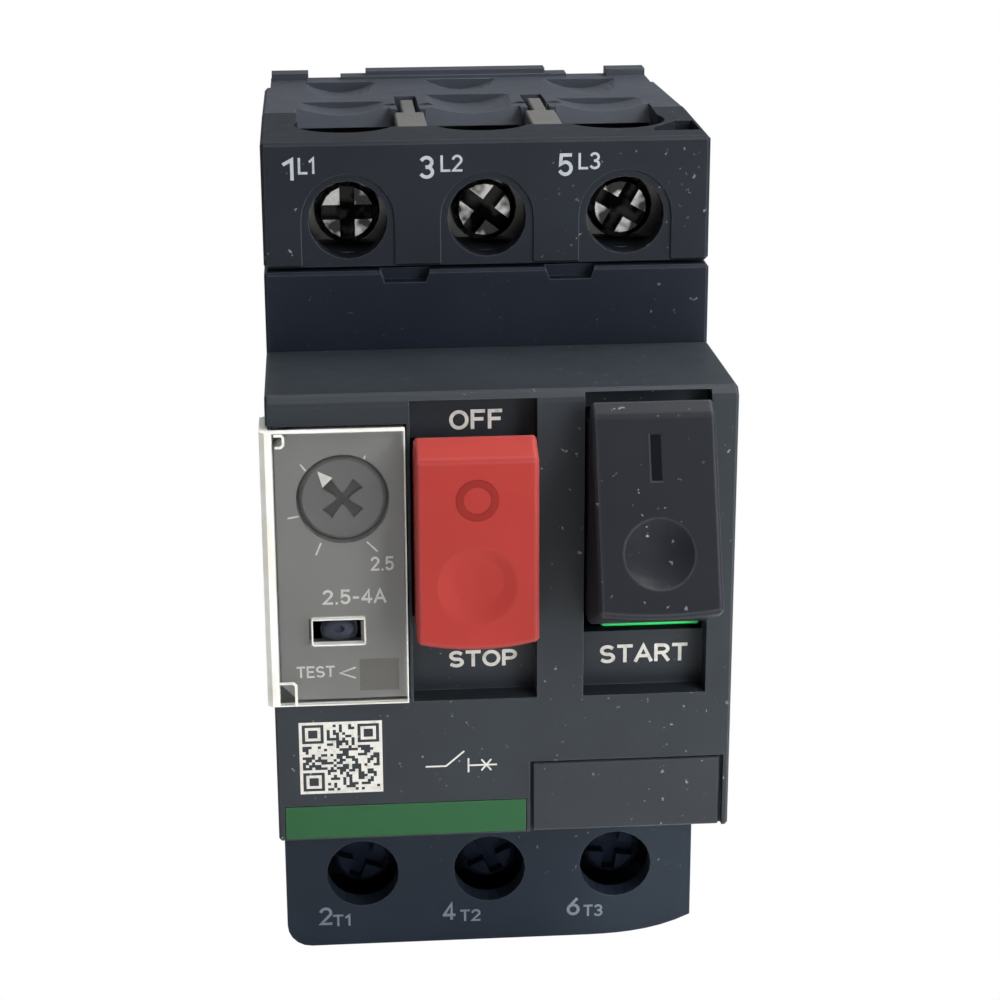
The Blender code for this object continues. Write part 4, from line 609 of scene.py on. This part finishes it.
def test_cap():
    """A low dome on the end of the test slide, with a dimple towards its top."""
    place = (-15.95, SLIDE_FACE, 1.3)
    sides, half_wide, half_high, shift_up = 32, 1.62, 1.12, 0.42
    turns = [2 * pi * k / sides for k in range(sides)]
    # each ring's share of the outline, and where it lies along Y from the slide's face
    foot = ((1.0, 0.02),)
    dome = ((1.0, -0.55), (0.93, -0.82), (0.72, -1.02), (0.4, -1.1))
    dimple = ((0.3, -0.82), (0.12, -0.75))
    bm = bmesh.new()
    rows = []
    for share, depth in foot + dome + dimple:
        up = shift_up * (1 - share)
        rows.append([bm.verts.new((half_wide * share * cos(turn) * MM, depth * MM,
                                   (half_high * share * sin(turn) + up) * MM)) for turn in turns])
    for this, following in zip(rows, rows[1:]):
        for k in range(sides):
            bm.faces.new((this[k], this[(k + 1) % sides], following[(k + 1) % sides], following[k]))
    bm.faces.new(rows[0])
    bm.faces.new(rows[-1])
    cap = mark_object("test_cap", bm, slide_plastic, place, "trip_bar", lift=0.0)
    smooth(cap, 50)


test_cap()

# ---- marks moulded into the buttons, drawn in painted shade and highlight ------------------
STOP_LEAN = radians(1.4)
START_LEAN = radians(24.34)
RING_PLACE = (-2.82, -64.62, 15.5)
RING_RADIUS = 1.65
BAR_X, BAR_Y, BAR_Z = 13.64, -65.066, 19.32
BAR_HALF_WIDE, BAR_HALF_HIGH = 0.55, 2.2
even = {"grain": 0.0, "vary": 0.0, "wear_and_highlight": 0.0}
# painted shade: the stop button's moulded ring, as a darker red
ring_shade_red = moulded("ring red in painted shade", srgb(118, 33, 29), 0.6, specular=0.1, **even)
# painted shade: the start button's moulded bar, filled near black
bar_shade = moulded("bar in painted shade", srgb(14, 15, 19), 0.7, specular=0.02, **even)
bar_highlight = moulded("bar edge in painted highlight", srgb(40, 43, 49), 0.6, specular=0.15, **even)
ring = bow(0, 0, RING_RADIUS, RING_RADIUS, 0, 360, 40)
lines("stop_ring", [ring], 0.36, ring_shade_red, RING_PLACE, "stop_actuator", STOP_LEAN)
bar = [(u * BAR_HALF_WIDE, v * BAR_HALF_HIGH) for u, v in ((-1, 1), (-1, -1), (1, -1), (1, 1))]
fills("start_bar", [bar], bar_shade, (BAR_X, BAR_Y, BAR_Z), "start_actuator", START_LEAN)
# its left and lower edges, paler as a painted highlight, a step before it
edge_place = (BAR_X, BAR_Y - STEP, BAR_Z)
lines("start_bar_edge", [bar[:3]], 0.1, bar_highlight, edge_place, "start_actuator", START_LEAN)

# ---- a square of made-up cells and a plain switch sign on the nose --------------------------
CELLS = 25
CELL_WIDE, CELL_HIGH = 0.299, 0.281
CELL_GAP = 0.002
EYE = 7
PALE_RINGS = (2, 4)


def corner_cell(row, column):
    """Whether a cell is in or beside a corner square, and whether it is pale there."""
    for top, left in ((0, 0), (0, CELLS - EYE), (CELLS - EYE, 0)):
        r, c = row - top, column - left
        if -1 <= r <= EYE and -1 <= c <= EYE:
            return True, max(abs(r - EYE // 2), abs(c - EYE // 2)) in PALE_RINGS
    return False, False


def cell_runs():
    """Outlines of the runs of pale cells: a pale frame, three corner squares, and chance."""
    random.seed(7)
    runs = []
    for row in range(-1, CELLS + 1):
        start = None
        for column in range(-1, CELLS + 2):
            outside = row in (-1, CELLS) or column in (-1, CELLS)
            in_corner, pale = corner_cell(row, column)
            on = column <= CELLS and (outside or (pale if in_corner else random.random() < 0.5))
            if on and start is None:
                start = column
            if not on and start is not None:
                left, right = start * CELL_WIDE + CELL_GAP, column * CELL_WIDE - CELL_GAP
                top, bottom = -row * CELL_HIGH - CELL_GAP, -(row + 1) * CELL_HIGH + CELL_GAP
                runs.append([(left, bottom), (right, bottom), (right, top), (left, top)])
                start = None
    return runs


fills("cell_square", cell_runs(), ink, (-19.71, NOSE_FACE, -8.64))
switch_sign = [
    [(0.0, 0.0), (1.95, 0.0), (3.7, 1.5)],
    [(4.15, 0.7), (4.15, -0.7)],
    [(4.15, 0.0), (6.9, 0.0)],
    [(5.45, 0.55), (6.35, -0.55)],
    [(5.45, -0.55), (6.35, 0.55)],
]
lines("switch_sign", switch_sign, 0.08, ink, (-7.7, NOSE_FACE, -13.47))

# ---- floor, light and camera ---------------------------------------------------------------
FLOOR_HALF = 4.0
FLOOR_GAP = 0.05 * MM
# two parts of the floor, each as both axes with the middle and half the width in mm
UNDER_BREAKER = (("X", 0.0, 19.0), ("Y", -11.5, 17.5))
BEHIND_HOLES = (("X", 1.0, 20.5), ("Y", -11.5, 17.5))
SHADE = (0.01, 0.014, 0.022, 1.0)
STUDIO_LIGHT = 0.28
BACKDROP = 1.0


def footprint(shader, spans):
    """1 over a rectangle of the floor."""
    sides = [
        shader.node("ShaderNodeMath", {0: shader.axis(shader.place, axis), 1: middle * MM, 2: half * MM},
                    operation="COMPARE").outputs["Value"]
        for axis, middle, half in spans
    ]
    return shader.math("MULTIPLY", *sides)


def stage_plane():
    """A floor that shows white, is in the shade under the breaker, and is clear from below."""
    bm = bmesh.new()
    bmesh.ops.create_grid(bm, x_segments=1, y_segments=1, size=FLOOR_HALF)
    mesh = bpy.data.meshes.new("floor")
    bm.to_mesh(mesh)
    bm.free()
    item = bpy.data.objects.new("floor", mesh)
    bpy.context.scene.collection.objects.link(item)
    item.location = (0, 0, cad_box[0][2] - FLOOR_GAP)
    shader = Shader("floor", 0.7)
    pale = shader.ramp(shader.noise(6), (0.3, srgb(244, 244, 244)), (0.7, srgb(250, 250, 250)))
    shader.drive("Base Color", shader.mix(footprint(shader, UNDER_BREAKER), pale, SHADE))
    # plain white to the camera, but not where it shows through the lower wire entries
    white = shader.math("SUBTRACT", shader.in_view(), footprint(shader, BEHIND_HOLES), clamp=True)
    glow = shader.node("ShaderNodeEmission").outputs["Emission"]
    above = shader.node("ShaderNodeMixShader", {"Fac": white, 1: shader.bsdf.outputs["BSDF"], 2: glow})
    below = shader.node("ShaderNodeBsdfTransparent").outputs["BSDF"]
    under = shader.node("ShaderNodeNewGeometry").outputs["Backfacing"]
    surface = shader.node("ShaderNodeMixShader", {"Fac": under, 1: above.outputs["Shader"], 2: below})
    shader.link(surface.outputs["Shader"], shader.tree.nodes["Material Output"].inputs["Surface"])
    mesh.materials.append(shader.material)


def lamp(name, place, target, size, power, gloss=True):
    """A panel of light, in metres and watts, that the camera doesn't see; gloss lets it reflect."""
    light = bpy.data.lights.new(name, "AREA")
    light.shape = "RECTANGLE"
    light.size, light.size_y = size
    light.energy = power
    item = bpy.data.objects.new(name, light)
    bpy.context.scene.collection.objects.link(item)
    item.location = place
    item.rotation_euler = (Vector(target) - Vector(place)).to_track_quat("-Z", "Y").to_euler()
    item.visible_camera = False
    item.visible_glossy = gloss


def studio_world():
    """Soft light all round, on a white ground."""
    world = bpy.data.worlds.new("studio")
    bpy.context.scene.world = world
    world.use_nodes = True
    graph = Graph(world.node_tree)
    background = graph.tree.nodes["Background"]
    background.inputs["Color"].default_value = (1, 1, 1, 1)
    graph.link(graph.remap(graph.in_view(), STUDIO_LIGHT, BACKDROP), background.inputs["Strength"])


def front_camera():
    """The camera as fitted to the photograph: its place in metres, and where it looks."""
    place = (-0.01732, -0.28129, 0.08879)
    right = Vector((0.997, -0.0774, -0.0034)).normalized()
    forward = Vector((0.0723, 0.9448, -0.3195)).normalized()
    up = right.cross(forward).normalized()
    right = forward.cross(up)
    data = bpy.data.cameras.new("camera")
    data.lens = 89.32
    data.sensor_width = 36.0
    data.clip_start = 0.01
    camera = bpy.data.objects.new("camera", data)
    bpy.context.scene.collection.objects.link(camera)
    bpy.context.scene.camera = camera
    turn = Matrix((right, up, -forward)).transposed().to_4x4()
    camera.matrix_world = Matrix.Translation(place) @ turn


stage_plane()
lamp("key", (-0.15, -0.6, 0.8), (0, -0.03, 0), (0.7, 0.6), 0.7)
lamp("front", (0.25, -0.75, 0.15), (0, -0.03, 0), (0.5, 0.4), 0.55)
lamp("side", (0.13, -0.21, 0.08), (0.0, -0.05, 0), (0.1, 0.16), 0.6, gloss=False)
lamp("top", (0.1, 0.12, 0.9), (0, 0, 0), (0.7, 0.7), 4.5)
lamp("rim", (0.12, -0.04, 0.17), (0, -0.03, 0.02), (0.08, 0.08), 0.4)
studio_world()
front_camera()
bpy.context.scene.view_settings.view_transform = "Standard"

bpy.context.view_layer.update()
